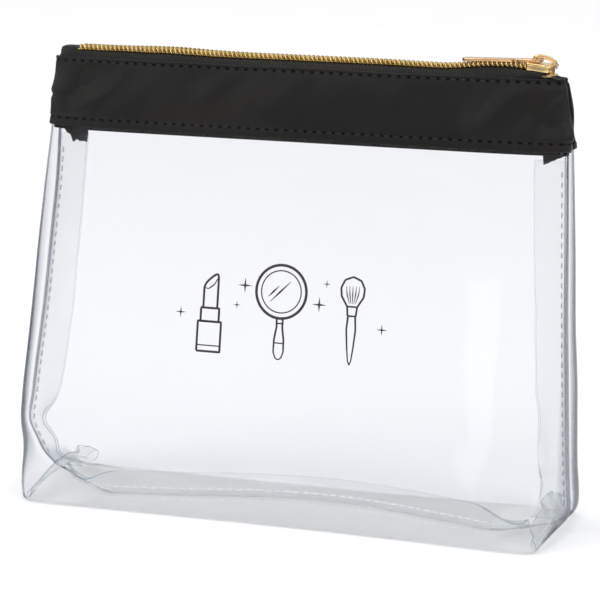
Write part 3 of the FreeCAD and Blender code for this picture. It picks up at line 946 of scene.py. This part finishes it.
def band_rows(side):
    """The band's section, outer face up, round the top fold, inner face down, round the hem."""
    levels = [(z, BAND_OUT, True) for z in band_levels()]
    middle = BAND_OUT - BAND_ROUND
    for turn in range(1, 6):
        angle = math.pi * turn / 6
        levels.append((RIM - BAND_ROUND + BAND_ROUND * math.sin(angle),
                       middle + BAND_ROUND * math.cos(angle), False))
    for step in range(6):
        z = RIM - BAND_ROUND - (RIM - BAND_LOW - 2 * BAND_ROUND) * step / 5
        levels.append((z, middle - BAND_ROUND, False))
    for turn in range(1, 6):
        angle = math.pi * turn / 6
        levels.append((BAND_LOW + BAND_ROUND - BAND_ROUND * math.sin(angle),
                       middle - BAND_ROUND * math.cos(angle), False))
    rows = []
    for z, out, proud in levels:
        row = wrapped(z, side, out, BAND_COUNT)
        if proud:
            length = length_of(row)
            ways = ways_out(row, side)
            row = [place + way * (0.05 * MM + satin_relief(length * at / (BAND_COUNT - 1),
                                                           length, z, side))
                   for at, (place, way) in enumerate(zip(row, ways))]
        sag = [0.35 * MM * drift(place.x / 0.03, z / 0.05, side) for place in row]
        rows.append([place + Vector((0, 0, drop)) for place, drop in zip(row, sag)])
    return rows


def mark_needle_holes(band, side):
    """Stores how deep in a needle hole each point of the band is, for the painted shade in its holes."""
    marks = band.data.attributes.new("pit", "FLOAT", "POINT")
    lines = {z: wrapped(z, side, BAND_OUT, 2400) for z in (ROW_LOW, ROW_HIGH)}
    lengths = {z: length_of(wrapped(z, side, BAND_OUT, 240)) for z in lines}
    for vertex in band.data.vertices:
        z = min(lines, key=lambda level: abs(vertex.co.z - level))
        line = lines[z]
        share = (line[0].x - vertex.co.x) / (line[0].x - line[-1].x)
        at = min(max(int(share * (len(line) - 1)), 1), len(line) - 2)
        while at > 1 and line[at].x < vertex.co.x:
            at -= 1
        while at < len(line) - 2 and line[at].x > vertex.co.x:
            at += 1
        s = lengths[z] * at / (len(line) - 1)
        marks.data[vertex.index].value = hole_share(s, abs(vertex.co.z - z)) ** 0.7


def frayed(row, side, fray):
    """A row of the facing, whose threads stand a little out of line by its free edge."""
    made = []
    for at, (place, way) in enumerate(zip(row, ways_out(row, side))):
        rise = Vector((0, 0, 0.8 * fray * math.sin(at * 2.3)))
        made.append(place + way * fray * math.sin(at * 1.7) + rise)
    return made


for word, side in SIDES.items():
    band = strip(word + "_satin_band", band_rows(side), SATIN)
    mark_needle_holes(band, side)
    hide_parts(word + "_band")
    hang_on_lip(band, word + "_lip")

    inner, outer = -1.5 * MM, -1.0 * MM
    low, top = BAND_LOW - 1.3 * MM, RIM - 1 * MM
    rows = []
    for z, out in ((low, outer), (low + 0.3 * MM, outer + 0.1 * MM), (BAND_LOW + 2 * MM, outer),
                   ((low + top) / 2, outer), (top, outer), (top, inner), ((low + top) / 2, inner),
                   (BAND_LOW + 2 * MM, inner), (low, inner)):
        fray = 0.12 * MM if z < BAND_LOW + 1 * MM else 0.0
        rows.append(frayed(wrapped(z, side, out, 460), side, fray))
    facing = strip(word + "_band_facing", rows, LINING, 50)
    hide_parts(word + "_band_lining")
    hang_on_lip(facing, word + "_lip")

    for part, z in (("upper", ROW_HIGH), ("lower", ROW_LOW)):
        row = wrapped(z, side, BAND_OUT, 2400)
        line = list(zip(row, ways_out(row, side)))
        stitches = stitch_row("%s_%s_topstitch" % (word, part), line, -0.2 * MM, 0.19 * MM,
                              DARK_THREAD, 0.62, 1)
        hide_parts("%s_%s_stitches" % (word, part))
        hang_on_lip(stitches, word + "_lip")


# ---------------------------------------------------------------- raw band ends inside the seams
END_REACH = {-1: 13.8 * MM, 1: 10.8 * MM}


def end_foot(end, inset):
    """How low the raw end hangs: ragged at the left, a slant at the right."""
    share = inset / END_REACH[end]
    ragged = drift(inset / 0.0022, 4, 4 * end)
    if end > 0:
        return BAND_LOW - 1.2 * MM - 5.2 * MM * share - 0.9 * MM * ragged
    return BAND_LOW - 1.5 * MM - 6.0 * MM * smooth(share * 1.3) - 1.9 * MM * ragged


for word, end in ENDS.items():
    columns = 56
    insets = [0.6 * MM + (END_REACH[end] - 0.6 * MM) * column / columns
              for column in range(columns + 1)]
    rows = []
    for face, levels in ((-1, range(12)), (1, range(11, -1, -1))):
        for level in levels:
            row = []
            for inset in insets:
                foot = end_foot(end, inset)
                z = foot + (RIM - 0.5 * MM - foot) * level / 11
                thick = 0.95 * MM if level else 0.3 * MM
                crumple = 0.5 * MM * drift(inset / 0.004, z / 0.006, end)
                x = seam_x(end, z, inset - 0.3 * MM)
                row.append(Vector((x, face * thick + crumple, z)))
            rows.append(row)
    raw_end = strip(word + "_band_end", rows, LINING, 50)
    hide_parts("band_end_" + word)
    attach(raw_end, "root")


# ---------------------------------------------------------------- zip tapes
TAPE = 0.5 * MM


def spread(x):
    """How far each coil row has moved from the middle where the zip is parted by its slider."""
    return PARTED_BY * smooth((x - PARTING) / (PARTED - PARTING))


def zip_lift(x):
    """The chain isn't quite straight: it rides up before the slider, which presses it down."""
    rise = 1.1 * smooth((x - 60 * MM) / (22 * MM)) * (1 - smooth((x - 88 * MM) / (10 * MM)))
    sag = 0.5 * smooth((x + 70 * MM) / (50 * MM)) * (1 - smooth((x - 62 * MM) / (25 * MM)))
    crest = 0.35 * bump(x, -52 * MM, 13 * MM)
    return (rise + crest - sag - 0.3 * bump(x, 60 * MM, 14 * MM)) * MM


def zip_roll(x):
    """The chain leans a little to the front at the left: how much it rises across its width."""
    left = smooth((x + 76 * MM) / (14 * MM)) * (1 - smooth((x + 56 * MM) / (46 * MM)))
    return 0.09 * left - 0.03 * bump(x, 50 * MM, 22 * MM)


TAPE_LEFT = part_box("front_tape")[0].x + 2.65 * MM
TAPE_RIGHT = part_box("front_tape")[1].x - 2.95 * MM


def tape_drop(x):
    """The tape sinks to the rim past the slider, where it's caught in the side seam."""
    return 2.4 * MM * smooth((x - COIL_END + 7.5 * MM) / (8 * MM))


def tape_section(x):
    """The tape's upper face at a place along it, from inside the band to the coil."""
    tab = smooth((COIL_START + 0.6 * MM - x) / (1.6 * MM))
    at_slider = smooth((x - SLIDER_LOW.x + 3.8 * MM) / (4 * MM))
    lift = zip_lift(x) + 1.7 * MM * tab
    deep = depth_at(x, TAPE_LOW + 2 * MM) - 0.5 * MM
    shoulder = depth_at(x, RIM) - 0.45 * MM
    centre = (0.25 * MM + spread(x)) * (1 - 0.9 * tab)
    top = TAPE_TOP + lift - tape_drop(x)
    knee = min(3.3 * MM + spread(x), shoulder - 0.6 * MM)
    knee += (max(shoulder, SLIDER_HIGH.y) + 0.35 * MM - knee) * at_slider
    sink = min(0.0, top - RIM - 0.5 * MM)
    return [(max(deep, 0.9 * MM), TAPE_LOW + 1 * MM), (max(shoulder, 0.9 * MM), RIM - 1.4 * MM),
            (max(shoulder - 0.35 * MM, 0.8 * MM), RIM - 0.2 * MM + sink),
            (0.45 * shoulder + 0.55 * knee, 0.4 * RIM + 0.6 * top),
            (knee, top - 0.25 * MM), (0.6 * knee, top - 0.02 * MM), (centre, top)]


for word, side in SIDES.items():
    columns = 200
    section = [[] for _ in range(14)]
    for column in range(columns + 1):
        x = TAPE_LEFT + (TAPE_RIGHT - TAPE_LEFT) * column / columns
        round_off = math.sqrt(max(0.0, 1 - (1 - min(1.0, (x - TAPE_LEFT) / (3 * MM))) ** 2))
        line = tape_section(x)
        for index, (y, z) in enumerate(line):
            z += zip_roll(x) * side * y if index > 3 else 0.0
            y = y * (0.55 + 0.45 * round_off) if index > 2 else y
            z -= 2.2 * MM * (1 - round_off) if index > 3 else 0.0
            section[index].append(Vector((x, side * y, z)))
            under = (y, z - TAPE) if index > 2 else (y - TAPE, z - 0.1 * MM)
            section[13 - index].append(Vector((x, side * max(under[0], 0.1 * MM), under[1])))
    tape = strip(word + "_zip_tape", section, TWILL, 60)
    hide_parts(word + "_tape")
    hang_on_lip(tape, word + "_lip")


# ---------------------------------------------------------------- coils
TOOTH_PITCH = 1.9 * MM
WIRE = 0.38 * MM
# One turn of the wire: along the zip, out from its middle, and up from the tape, in mm.
COIL_TURN = ((-0.60, 2.60, 0.36), (-0.25, 1.60, 0.38), (0.0, 0.40, 0.42), (0.0, -0.35, 0.70),
             (0.0, -0.62, 1.20), (0.0, -0.35, 1.72), (0.0, 0.40, 2.00), (0.10, 1.60, 2.10),
             (0.30, 2.60, 1.96), (0.60, 3.16, 1.40), (0.96, 3.22, 0.62))


def coil_turn(x, side):
    """One turn of the coil: in along the tape, round its head, back over the top, and down."""
    level = TAPE_TOP + zip_lift(x)
    return [Vector((x + ahead * MM, side * (across * MM + spread(x)),
                    level + up * MM + zip_roll(x) * side * across * MM))
            for ahead, across, up in COIL_TURN]


for word, side in SIDES.items():
    knots = []
    start = COIL_START + 0.6 * MM + (0.5 * TOOTH_PITCH if side > 0 else 0.0)
    for tooth in range(int((COIL_END - start - 1.2 * MM) / TOOTH_PITCH)):
        knots += coil_turn(start + tooth * TOOTH_PITCH, side)
    curve = bpy.data.curves.new(word + "_coil_line", "CURVE")
    curve.dimensions = "3D"
    spline = curve.splines.new("NURBS")
    spline.points.add(len(knots) - 1)
    for point, knot in zip(spline.points, knots):
        point.co = (*knot, 1)
    spline.order_u = 3
    spline.use_endpoint_u = True
    spline.resolution_u = 2
    curve.bevel_depth = WIRE
    curve.bevel_resolution = 2
    curve.use_fill_caps = True
    coil = finished(word + "_zip_coil", mesh_of_curve(curve), GOLD_COIL)
    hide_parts(word + "_coil")
    hang_on_lip(coil, word + "_lip")


# ---------------------------------------------------------------- slider and puller
def arc(x, y, radius, start, stop, steps=8):
    """Points of an arc in plan, from one angle to another in degrees."""
    angles = [math.radians(start + (stop - start) * step / steps) for step in range(steps + 1)]
    return [(x + radius * math.cos(a), y + radius * math.sin(a)) for a in angles]


def stamped(name, loops, low, high, edge, material=GOLD):
    """A flat stamping with rounded edges: its outline, then its holes, between two levels."""
    curve = bpy.data.curves.new(name, "CURVE")
    curve.dimensions = "2D"
    curve.fill_mode = "BOTH"
    curve.extrude = (high - low) / 2 - edge
    curve.bevel_depth = edge
    curve.bevel_resolution = 3
    curve.offset = -edge
    for loop in loops:
        spline = curve.splines.new("POLY")
        spline.points.add(len(loop) - 1)
        for point, (x, y) in zip(spline.points, loop):
            point.co = (x, y, 0, 1)
        spline.use_cyclic_u = True
    mesh = mesh_of_curve(curve)
    mesh.transform(Matrix.Translation((0, 0, (low + high) / 2)))
    return finished(name, mesh, material, 40)


def mirror_plan(half):
    """A closed plan from the points of its +Y half, listed from the rear to the front."""
    return half + [(x, -y) for x, y in half[::-1]]


def tip_forward(piece, degrees):
    """The slider sits nose down on the zip, turned about the puller's rod."""
    turn = Matrix.Rotation(math.radians(degrees), 4, "Y")
    piece.data.transform(Matrix.Translation(PIVOT) @ turn @ Matrix.Translation(-PIVOT))


REAR, FRONT = SLIDER_LOW.x, SLIDER_HIGH.x
WIDE, NARROW = SLIDER_HIGH.y, SLIDER_HIGH.y - 1.1 * MM
plate = mirror_plan(arc(REAR + 1.6 * MM, NARROW - 1.6 * MM, 1.6 * MM, 175, 90, 6)
                    + [(PARTING - 1 * MM, NARROW), (PARTING + 0.6 * MM, NARROW + 0.15 * MM),
                       (PARTED - 0.6 * MM, WIDE - 0.15 * MM), (PARTED + 1 * MM, WIDE)]
                    + arc(FRONT - 1.8 * MM, WIDE - 1.8 * MM, 1.8 * MM, 90, 8, 6))
TOP, SILL = SLIDER_HIGH.z, SLIDER_LOW.z
ROOF, FLOOR = TOP - 0.95 * MM, SILL + 1.1 * MM
roof = stamped("roof", [plate], ROOF - 0.1 * MM, TOP, 0.3 * MM)
sole = stamped("sole", [plate], SILL, FLOOR, 0.3 * MM)
parts = [roof, sole]
for side in SIDES.values():
    outer = [(REAR + 1.2 * MM, NARROW - 0.02 * MM), (PARTING, NARROW - 0.02 * MM),
             (PARTED, WIDE - 0.02 * MM), (FRONT - 2 * MM, WIDE - 0.02 * MM)]
    flange = outer + [(x, y - 0.72 * MM) for x, y in outer[::-1]]
    parts.append(stamped("flange", [[(x, side * y) for x, y in flange]],
                         FLOOR + 0.75 * MM, ROOF + 0.5 * MM, 0.14 * MM))
post = mirror_plan([(PARTING + 2.2 * MM, 0.1 * MM), (PARTED + 0.6 * MM, 0.75 * MM),
                    (FRONT - 1.4 * MM, 0.75 * MM), (FRONT - 0.6 * MM, 0.2 * MM)])
parts.append(stamped("post", [post], FLOOR - 0.2 * MM, ROOF + 0.1 * MM, 0.1 * MM))
for x in (BAIL_LOW.x + 0.85 * MM, BAIL_HIGH.x - 1.0 * MM):
    lug = [(x - 1.2 * MM, -1.5 * MM), (x + 1.2 * MM, -1.5 * MM),
           (x + 1.2 * MM, 1.5 * MM), (x - 1.2 * MM, 1.5 * MM)]
    parts.append(stamped("lug", [lug], TOP - 0.3 * MM, TOP + 0.55 * MM, 0.25 * MM))
slider = joined("slider_body_shell", parts)
tip_forward(slider, 3.8)
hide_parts("slider_body")
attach(slider, "slider")

BAIL_THICK, BAIL_WIDE = 0.80 * MM, 0.95 * MM
heel, toe, crown = BAIL_LOW.x + BAIL_THICK, BAIL_HIGH.x - BAIL_THICK, BAIL_HIGH.z - BAIL_THICK
arch = [(heel, TOP + 0.2 * MM), (heel, TOP + 1.4 * MM), (heel + 0.1 * MM, crown - 0.75 * MM),
        (heel + 1.0 * MM, crown - 0.05 * MM), (heel + 2.4 * MM, crown),
        (heel + 4.2 * MM, crown - 0.15 * MM), (toe - 2.0 * MM, crown - 0.6 * MM),
        (toe - 0.5 * MM, crown - 1.5 * MM), (toe + 0.1 * MM, TOP + 1.2 * MM), (toe, TOP + 0.1 * MM)]
path = resample([Vector((x, 0, z)) for x, z in arch], 34)
for _ in range(3):
    inside = [(a + 2 * b + c) / 4 for a, b, c in zip(path, path[1:], path[2:])]
    path = [path[0], *inside, path[-1]]
points, faces = [], []
ring_sides = 16
flat = 0.6
for index, centre in enumerate(path):
    ahead = heading(path, index)
    normal = Vector((-ahead.z, 0, ahead.x)).normalized()
    for corner in range(ring_sides):
        angle = 2 * math.pi * corner / ring_sides
        across = math.copysign(abs(math.cos(angle)) ** flat, math.cos(angle)) * BAIL_WIDE
        up = math.copysign(abs(math.sin(angle)) ** flat, math.sin(angle)) * BAIL_THICK
        points.append(centre + Vector((0, across, 0)) + normal * up)
rod_faces(0, len(path), ring_sides, faces)
bail = new_piece("slider_bail_arch", points, faces, GOLD)
tip_forward(bail, 3.8)
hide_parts("slider_bail")
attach(bail, "slider")

PULL_HALF = PULLER_HIGH.y
TIP = PULLER_LOW.x
NECK, EYE = PIVOT.x - 10.2 * MM, PIVOT.x - 7.6 * MM
half_pull = (arc(TIP + 1.7 * MM, PULL_HALF - 1.7 * MM, 1.7 * MM, 178, 90, 8)
             + [(NECK - 1.2 * MM, PULL_HALF)]
             + arc(NECK - 1.2 * MM, PULL_HALF - 0.9 * MM, 0.9 * MM, 80, 10, 4)
             + [(NECK + 0.2 * MM, 1.55 * MM), (NECK + 0.9 * MM, 1.6 * MM)]
             + [(EYE - 0.6 * MM, 2.3 * MM), (PIVOT.x - 0.3 * MM, 2.35 * MM)]
             + arc(PIVOT.x - 0.35 * MM, 1.35 * MM, 1.0 * MM, 80, 0, 5))
eye = mirror_plan(arc(EYE + 0.5 * MM, 0.75 * MM, 0.5 * MM, 180, 90, 4)
                  + arc(PIVOT.x - 1.15 * MM, 0.75 * MM, 0.5 * MM, 90, 0, 4))
half_plate = 0.68 * MM
plate = stamped("pull_plate", [mirror_plan(half_pull), eye], PIVOT.z - half_plate,
                PIVOT.z + half_plate, 0.42 * MM, ROSE_GOLD)
points, faces = [], []
rod = [Vector((PIVOT.x, y * MM, PIVOT.z)) for y in (-2.2, -2.0, -1.0, 0.0, 1.0, 2.0, 2.2)]
tube(rod, [r * MM for r in (0.5, 0.72, 0.72, 0.72, 0.72, 0.72, 0.5)], points, faces, 20)
rod = new_piece("pull_rod", points, faces, ROSE_GOLD, 50)
puller = joined("pull_tab", [plate, rod])
tip_forward(puller, -1.2)
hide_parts("puller")
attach(puller, "puller")


# ---------------------------------------------------------------- print on the front film
PRINT_LOW, PRINT_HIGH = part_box("front_print")
PRINT_X = (PRINT_LOW.x + PRINT_HIGH.x) / 2 - 0.25 * MM
PRINT_Z = (PRINT_LOW.z + PRINT_HIGH.z) / 2 + 0.25 * MM
INK_OUT, INK_THICK = 0.06 * MM, 0.08 * MM
print_points, print_faces = [], []


def stroke(line, widths):
    """An inked line on the front film; line is (x, z) from the print's middle, in mm."""
    line = [Vector((x, z, 0)) for x, z in line]
    fine = resample(line, max(3, int(length_of(line) / 0.5) + 1))
    rows = [[], [], [], []]
    for index, place in enumerate(fine):
        ahead = heading(fine, index)
        normal = Vector((-ahead.y, ahead.x, 0)).normalized()
        share = index / (len(fine) - 1) * (len(widths) - 1)
        first = min(int(share), len(widths) - 2)
        width = widths[first] + (widths[first + 1] - widths[first]) * (share - first)
        for row, (edge, out) in enumerate(((-1, 0), (1, 0), (1, 1), (-1, 1))):
            spot = place + normal * edge * width / 2
            rows[row].append(on_face(PRINT_X + spot.x * MM, PRINT_Z + spot.y * MM, -1,
                                     INK_OUT + out * INK_THICK))
    base, width = len(print_points), len(fine)
    grid(rows, print_points, print_faces, closed=True)
    print_faces.append([base + row * width for row in range(4)])
    print_faces.append([base + row * width + width - 1 for row in range(4)][::-1])


def ring_line(x, z, radius, steps=48):
    """A full circle, as (x, z) points."""
    turns = [2 * math.pi * step / steps for step in range(steps + 1)]
    return [(x + radius * math.cos(turn), z + radius * math.sin(turn)) for turn in turns]


def draw_mirror(x, z):
    """A hand mirror: two rings, a turned handle and two glints."""
    stroke(ring_line(x, z + 8, 10.6), [1.1, 1.1])
    stroke(ring_line(x, z + 8, 8.4), [0.5, 0.5])
    for glint, reach in ((-3.2, 2.2), (-0.4, 4.2)):
        stroke([(x + glint - reach, z + 8 - reach), (x + glint + reach, z + 8 + reach)],
               [0.2, 0.8, 0.2])
    for hand in (-1, 1):
        stroke([(x + hand * 1.3, z - 2.6), (x + hand * 1.2, z - 6), (x + hand * 2.0, z - 11),
                (x + hand * 2.1, z - 16), (x + hand * 1.2, z - 18.4), (x, z - 19)], [0.8, 0.8, 0.5])
    stroke([(x - 1.7, z - 4.6), (x + 1.7, z - 4.6)], [0.6, 0.6])
    stroke([(x - 2.2, z - 12.4), (x + 2.2, z - 12.4)], [0.5, 0.5])


def draw_lipstick(x, z):
    """A lipstick: case, collar and a slanting stick."""
    for low, high, half in ((-18, -6, 5.0), (-6, -0.6, 3.9)):
        stroke([(x - half, z + low), (x + half, z + low), (x + half, z + high),
                (x - half, z + high), (x - half, z + low)], [0.9, 0.9])
    stroke([(x - 5, z - 15.6), (x + 5, z - 15.6)], [0.5, 0.5])
    stick = [(x - 3, z - 0.6), (x - 3, z + 7.5)]
    stick += [(x - 3 + 6 * t, z + 7.5 + 6.2 * t ** 0.6) for t in (0.1, 0.25, 0.4, 0.6, 0.8)]
    stick += [(x + 2.7, z + 13.0), (x + 3, z + 11.5), (x + 3, z - 0.6)]
    stroke(stick, [0.9, 0.9])
    stroke([(x - 3, z + 7.5), (x - 1.2, z + 7.0), (x + 1.2, z + 8.8), (x + 2.9, z + 11.8)],
           [0.3, 0.6, 0.3])


def draw_brush(x, z):
    """A powder brush: a long handle, a ferrule and a full head."""
    for hand in (-1, 1):
        stroke([(x + hand * 1.5, z + 0.5), (x + hand * 1.9, z - 5), (x + hand * 1.3, z - 12),
                (x + hand * 0.7, z - 17), (x, z - 18.8)], [0.8, 0.7, 0.5])
        stroke([(x + hand * 1.7, z + 0.5), (x + hand * 2.1, z + 4.2)], [0.8, 0.8])
        stroke([(x + hand * 2.1, z + 4.2), (x + hand * 4.6, z + 8.2), (x + hand * 4.9, z + 11.5),
                (x + hand * 3.4, z + 14.6), (x, z + 16.0)], [0.8, 0.8])
    stroke([(x - 1.9, z + 0.5), (x + 1.9, z + 0.5)], [0.7, 0.7])
    stroke([(x - 2.4, z + 4.2), (x + 2.4, z + 4.2)], [0.7, 0.7])
    for lean in (-2.4, -1.2, 0.0, 1.2, 2.4):
        stroke([(x + lean * 0.5, z + 5.4), (x + lean, z + 9), (x + lean * 1.15, z + 12.4)],
               [0.2, 0.5, 0.15])


def draw_spark(x, z, reach):
    """A four-pointed glint."""
    for step in range(4):
        angle = math.radians(90 * step)
        stroke([(x, z), (x + reach * math.cos(angle), z + reach * math.sin(angle))],
               [0.9 * reach / 3, 0.05])


draw_mirror(0.0, 0.0)
draw_lipstick(-30.0, 0.0)
draw_brush(30.0, 0.0)
for x, z, reach in ((-15.5, 9.5, 3.0), (-18.6, 1.5, 1.6), (16.2, 4.0, 3.0), (19.0, 12.4, 1.6),
                    (-42.6, -3.0, 2.2), (42.8, -4.0, 2.2)):
    draw_spark(x, z, reach)
motif = new_piece("front_motif", print_points, print_faces, INK)
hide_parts("front_print")
hang_on_lip(motif, "front_lip")


# ---------------------------------------------------------------- floor, light and camera
def studio():
    """A pale floor and soft light; mirrors and gloss see darker surroundings than the eye."""
    skin = bpy.data.materials.new("studio_floor")
    look = Look(skin)
    pale = look.ramp(look.noise(12, 2.0), [(0.2, (0.955,) * 3), (0.8, (0.97,) * 3)])
    # Painted reflection: to glossy rays only, the floor turns dark to the left and right, so mirrors and
    # gloss show dark surroundings.
    spot = look.node("SeparateXYZ", {0: look.node("TexCoord").outputs["Object"]})
    flag = look.ramp(look.math("ABSOLUTE", spot.outputs["X"]),
                     [(0.16, (0, 0, 0)), (0.45, (0.85,) * 3)])
    shade = look.math("MULTIPLY", flag, look.node("LightPath").outputs["Is Glossy Ray"])
    colour = look.tint(shade, pale, (0.05, 0.055, 0.065, 1))
    look.show(look.node("BsdfDiffuse", {"Color": colour}))
    half, level = 8.0, -0.3 * MM
    corners = [(x * half, y * half, level) for x, y in ((-1, -1), (1, -1), (1, 1), (-1, 1))]
    mesh = bpy.data.meshes.new("floor")
    mesh.from_pydata(corners, [], [(0, 1, 2, 3)])
    mesh.materials.append(skin)
    floor = linked("floor", mesh)
    floor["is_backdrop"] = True

    world = bpy.data.worlds.new("studio")
    look = Look(world, "World")
    way = look.node("SeparateXYZ", {0: look.node("TexCoord").outputs["Generated"]})
    height = look.ramp(way.outputs["Z"], [
        (0.0, (0.72, 0.725, 0.735)), (0.215, (0.86, 0.862, 0.865)), (0.30, (0.17, 0.18, 0.19)),
        (0.42, (0.20, 0.21, 0.22)), (0.62, (1.0,) * 3), (1.0, (1.3,) * 3)])
    flags = look.ramp(look.math("ABSOLUTE", way.outputs["X"]),
                      [(0.5, (1.0,) * 3), (0.85, (0.14, 0.15, 0.17))])
    mirrored = look.node("Background", {"Color": look.tint(1.0, height, flags, "MULTIPLY")})
    white = look.node("Background", {"Color": (1.0, 1.0, 1.0, 1), "Strength": 1.0})
    look.show(look.mix(look.node("LightPath").outputs["Is Glossy Ray"], white, mirrored))
    bpy.context.scene.world = world


def soft_light(name, place, target, width, height, watts):
    """A rectangular softbox that faces a target."""
    lamp = bpy.data.lights.new(name, "AREA")
    lamp.shape = "RECTANGLE"
    lamp.size, lamp.size_y = width, height
    lamp.energy = watts
    holder = linked(name, lamp)
    holder.location = place
    holder.rotation_mode = "QUATERNION"
    holder.rotation_quaternion = (Vector(target) - Vector(place)).to_track_quat("-Z", "Y")


def camera():
    """A long lens, a little above the pouch and to the right of its front."""
    azimuth, elevation, roll = (math.radians(angle) for angle in (18.91, 11.02, 0.62))
    back = Vector((math.sin(azimuth) * math.cos(elevation),
                   -math.cos(azimuth) * math.cos(elevation), math.sin(elevation)))
    lens = bpy.data.cameras.new("camera")
    lens.lens = 165.2
    lens.sensor_width = 36.0
    lens.clip_start, lens.clip_end = 0.01, 100.0
    holder = linked("camera", lens)
    holder.location = Vector((2.3 * MM, 0, 86.8 * MM)) + back * 1.1224
    holder.rotation_mode = "QUATERNION"
    turn = Matrix.Rotation(roll, 4, back)
    holder.rotation_quaternion = turn.to_quaternion() @ (-back).to_track_quat("-Z", "Y")
    bpy.context.scene.camera = holder


studio()
soft_light("key", (-0.9, -1.1, 1.3), (0, 0, 0.1), 1.0, 1.0, 9)
soft_light("fill", (1.4, -0.8, 0.9), (0, 0, 0.1), 0.8, 1.2, 4)
soft_light("window", (-0.03, -1.2, 0.10), (0.08, 0, 0.04), 0.13, 0.26, 0.2)
camera()
bpy.context.scene.view_settings.view_transform = "Standard"
bpy.context.scene.cycles.transparent_max_bounces = 48

bpy.context.view_layer.update()
low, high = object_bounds()
